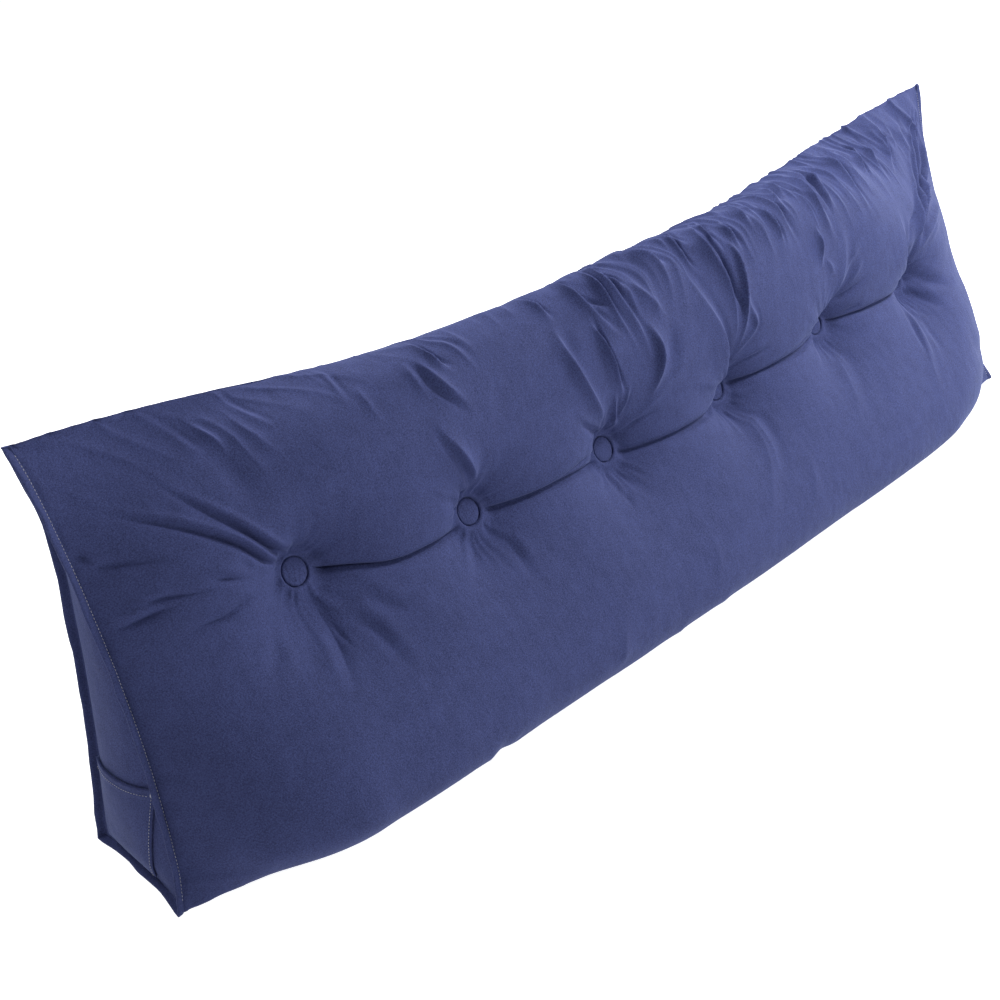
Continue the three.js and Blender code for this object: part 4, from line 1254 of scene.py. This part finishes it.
def stitches(name, line, outward, sizes, length=None):
    """Short stitches along a line of points, each lying on the cloth whose outward way is given."""
    length = length or sizes.stitch_length / MM
    gap = sizes.stitch_gap / MM
    steps = np.linalg.norm(np.diff(line, axis=0), axis=1)
    run = np.concatenate([[0], np.cumsum(steps)])
    count = max(1, int(run[-1] / (length + gap)))
    bpy.ops.object.select_all(action="DESELECT")
    bpy.ops.mesh.primitive_uv_sphere_add(segments=6, ring_count=5, radius=0.5)
    seed = bpy.context.object
    one = np.array([vertex.co for vertex in seed.data.vertices])
    faces = [list(face.vertices) for face in seed.data.polygons]
    bpy.data.objects.remove(seed)
    thick = 2 * sizes.thread_radius / MM
    points, all_faces = [], []
    for k in range(count):
        middle = (k + 0.5) / count * run[-1]
        start, end = (part_way(run, line, middle + half) for half in (-length / 2, length / 2))
        out = unit(part_way(run, outward, middle))
        along = unit(end - start)
        beside = unit(np.cross(out, along))
        turned = np.stack([beside, np.cross(along, beside), along])
        points.append((one * (thick, thick, length)) @ turned + (start + end) / 2 + out * STITCH_LIFT)
        all_faces += [[corner + k * len(one) for corner in face] for face in faces]
    mesh = bpy.data.meshes.new(name)
    mesh.from_pydata((np.concatenate(points) * MM + Made.place).tolist(), [], all_faces)
    mesh.shade_smooth()
    piece = show(name, mesh, bpy.data.materials[SPUN_THREAD])
    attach(piece, "root")


def make_stitching(sizes):
    """Topstitching along the lips and on the pocket's hem and front edge, with a bar tack at its corner."""
    for name, end in zip(("lip_stitches_left", "lip_stitches_right"), Made.ends):
        rows = slice(LIP_LINE_ENDS, end.cover.front_rows - LIP_LINE_ENDS)
        stitches(name, end.lip_ring(*LIP_LINE)[rows], end.normals[rows], sizes)
    places = LINE_SHARES["places"]
    shares = np.linspace(LINE_SHARES["from"], LINE_SHARES["to"], places)
    out = np.tile([-1.0, 0, 0], (places, 1))
    hem_depth = HEM["height"] - HEM["stitched"]
    hem_up = 1 - hem_depth / (POCKET["top"] - POCKET["bottom"])
    proud = POCKET_STANDOFF + POCKET_THICKNESS
    hem_over = HEM_LINE["from"] + HEM_LINE["along"] * shares
    hem = pocket_point(hem_over, np.full(places, hem_up), proud + HEM["extra"] + THREAD_PROUD)
    stitches("hem_stitches", hem, out, sizes)
    edge = pocket_point(np.full(places, POCKET_LINE_IN), shares, proud + THREAD_PROUD)
    stitches("pocket_edge_stitches", edge, out, sizes)
    up = np.linspace(hem_up, LINE_SHARES["to"], TACK["places"])
    tack = pocket_point(np.full_like(up, POCKET_LINE_IN), up, proud + HEM["extra"] + TACK["proud"])
    for number in range(TACK["threads"]):
        shift = TACK["pitch"] * (number - (TACK["threads"] - 1) / 2)
        stitches(f"bar_tack_{number + 1}", tack + (0, shift, 0), out[: len(up)], sizes, length=hem_depth)


def add_light(lamp):
    """A soft square light that points at a target."""
    data = bpy.data.lights.new(lamp.name, "AREA")
    data.size = lamp.size
    data.energy = lamp.power
    light = bpy.data.objects.new(lamp.name, data)
    light.location = lamp.place
    light.rotation_euler = (Vector(lamp.target) - Vector(lamp.place)).to_track_quat("-Z", "Y").to_euler()
    bpy.context.scene.collection.objects.link(light)


def make_stage(sizes):
    """A white floor, soft studio lights and the camera."""
    bpy.ops.object.select_all(action="DESELECT")
    bpy.ops.mesh.primitive_plane_add(size=30)
    floor = bpy.context.object
    floor.name = "floor"
    white = Finish("floor")
    white.set(Base_Color=(0.6, 0.6, 0.6, 1), Roughness=0.9, Specular_IOR_Level=0.0)
    white.set(Emission_Color=(1, 1, 1, 1), Emission_Strength=sizes.floor_glow)
    floor.data.materials.append(white.material)
    world = bpy.data.worlds.new("studio")
    world.use_nodes = True
    world.node_tree.nodes["Background"].inputs["Color"].default_value = (0.9, 0.94, 1, 1)
    world.node_tree.nodes["Background"].inputs["Strength"].default_value = sizes.sky
    bpy.context.scene.world = world
    for lamp in LAMPS:
        add_light(lamp)
    azimuth, elevation, roll = (CAMERA_TURN[key] for key in ("azimuth", "elevation", "roll"))
    level = math.cos(elevation)
    back = Vector((math.sin(azimuth) * level, -math.cos(azimuth) * level, math.sin(elevation)))
    right = Vector((0, 0, 1)).cross(back).normalized()
    turned = Matrix((right, back.cross(right), back)).transposed() @ Matrix.Rotation(roll, 3, "Z")
    camera = bpy.data.objects.new("camera", bpy.data.cameras.new("camera"))
    camera.data.sensor_width = SENSOR
    camera.data.lens = FOCAL_PIXELS * SENSOR / PHOTO_PIXELS
    camera.matrix_world = Matrix.Translation(CAMERA_PLACE) @ turned.to_4x4()
    bpy.context.scene.collection.objects.link(camera)
    bpy.context.scene.camera = camera
    bpy.context.scene.view_settings.view_transform = "Standard"


class PillowSizes(bpy.types.PropertyGroup):
    """What a user would change."""

    cloth_step: bpy.props.FloatProperty(
        name="Cloth step",
        description="Spacing of the cover's mesh on the front",
        default=0.0021,
        min=0.002,
        unit="LENGTH",
    )
    cloth_colour: bpy.props.FloatVectorProperty(
        name="Cloth colour",
        description="Mean colour of the brushed cotton",
        default=(0.037, 0.0463, 0.1286),
        subtype="COLOR",
    )
    sheen_colour: bpy.props.FloatVectorProperty(
        name="Nap colour",
        description="Colour that the nap shows at a glancing view",
        default=(0.4, 0.5, 0.9),
        subtype="COLOR",
    )
    nap_sheen: bpy.props.FloatProperty(
        name="Nap", description="How much the nap catches light", default=0.16, subtype="FACTOR"
    )
    thread_colour: bpy.props.FloatVectorProperty(
        name="Thread colour",
        description="Colour of the topstitching",
        default=(0.33, 0.34, 0.40),
        subtype="COLOR",
    )
    stitch_length: bpy.props.FloatProperty(
        name="Stitch", description="Length of a stitch", default=0.0026, unit="LENGTH"
    )
    stitch_gap: bpy.props.FloatProperty(
        name="Stitch gap", description="Gap from stitch to stitch", default=0.0014, unit="LENGTH"
    )
    thread_radius: bpy.props.FloatProperty(
        name="Thread radius", description="Half of the thread's thickness", default=0.00035, unit="LENGTH"
    )
    sky: bpy.props.FloatProperty(name="Sky", description="Strength of the light from all round", default=0.02)
    floor_glow: bpy.props.FloatProperty(
        name="Floor glow", description="Light that the floor adds to what falls on it", default=0.95
    )


class PILLOW_OT_cover(bpy.types.Operator):
    """Make the cloth finishes and the filled cover"""

    bl_idname = "pillow.cover"
    bl_label = "Cover"

    def execute(self, context):
        sizes = context.scene.pillow_sizes
        cloth_finish(COTTON, sizes)
        make_cover(sizes)
        return {"FINISHED"}


class PILLOW_OT_buttons(bpy.types.Operator):
    """Make the six covered buttons"""

    bl_idname = "pillow.buttons"
    bl_label = "Buttons"

    def execute(self, context):
        sizes = context.scene.pillow_sizes
        cloth_finish(BUTTON_COTTON, sizes, coordinates_from="Object")
        make_buttons()
        return {"FINISHED"}


class PILLOW_OT_pocket(bpy.types.Operator):
    """Make the patch pocket. The cover comes first"""

    bl_idname = "pillow.pocket"
    bl_label = "Pocket"

    def execute(self, context):
        make_pocket()
        return {"FINISHED"}


class PILLOW_OT_stitching(bpy.types.Operator):
    """Make the topstitching and the bar tack. The cover comes first"""

    bl_idname = "pillow.stitching"
    bl_label = "Stitching"

    def execute(self, context):
        sizes = context.scene.pillow_sizes
        thread_finish(sizes)
        make_stitching(sizes)
        return {"FINISHED"}


class PILLOW_OT_stage(bpy.types.Operator):
    """Make the floor, lights and camera"""

    bl_idname = "pillow.stage"
    bl_label = "Stage"

    def execute(self, context):
        make_stage(context.scene.pillow_sizes)
        return {"FINISHED"}


STEPS = (PILLOW_OT_cover, PILLOW_OT_buttons, PILLOW_OT_pocket, PILLOW_OT_stitching, PILLOW_OT_stage)


class PILLOW_PT_steps(bpy.types.Panel):
    """Lists the steps in their order"""

    bl_idname = "PILLOW_PT_steps"
    bl_label = "Wedge headboard pillow"
    bl_space_type = "VIEW_3D"
    bl_region_type = "UI"
    bl_category = "Pillow"

    def draw(self, context):
        sizes = context.scene.pillow_sizes
        for key in sizes.bl_rna.properties.keys():
            if key not in ("rna_type", "name"):
                self.layout.prop(sizes, key)
        for step in STEPS:
            self.layout.operator(step.bl_idname)


def register():
    for item in (PillowSizes, *STEPS, PILLOW_PT_steps):
        bpy.utils.register_class(item)
    bpy.types.Scene.pillow_sizes = bpy.props.PointerProperty(type=PillowSizes)


def unregister():
    del bpy.types.Scene.pillow_sizes
    for item in reversed((PillowSizes, *STEPS, PILLOW_PT_steps)):
        bpy.utils.unregister_class(item)


def main():
    register()
    for step in STEPS:
        group, name = step.bl_idname.split(".")
        getattr(getattr(bpy.ops, group), name)()


if __name__ == "__main__":
    main()
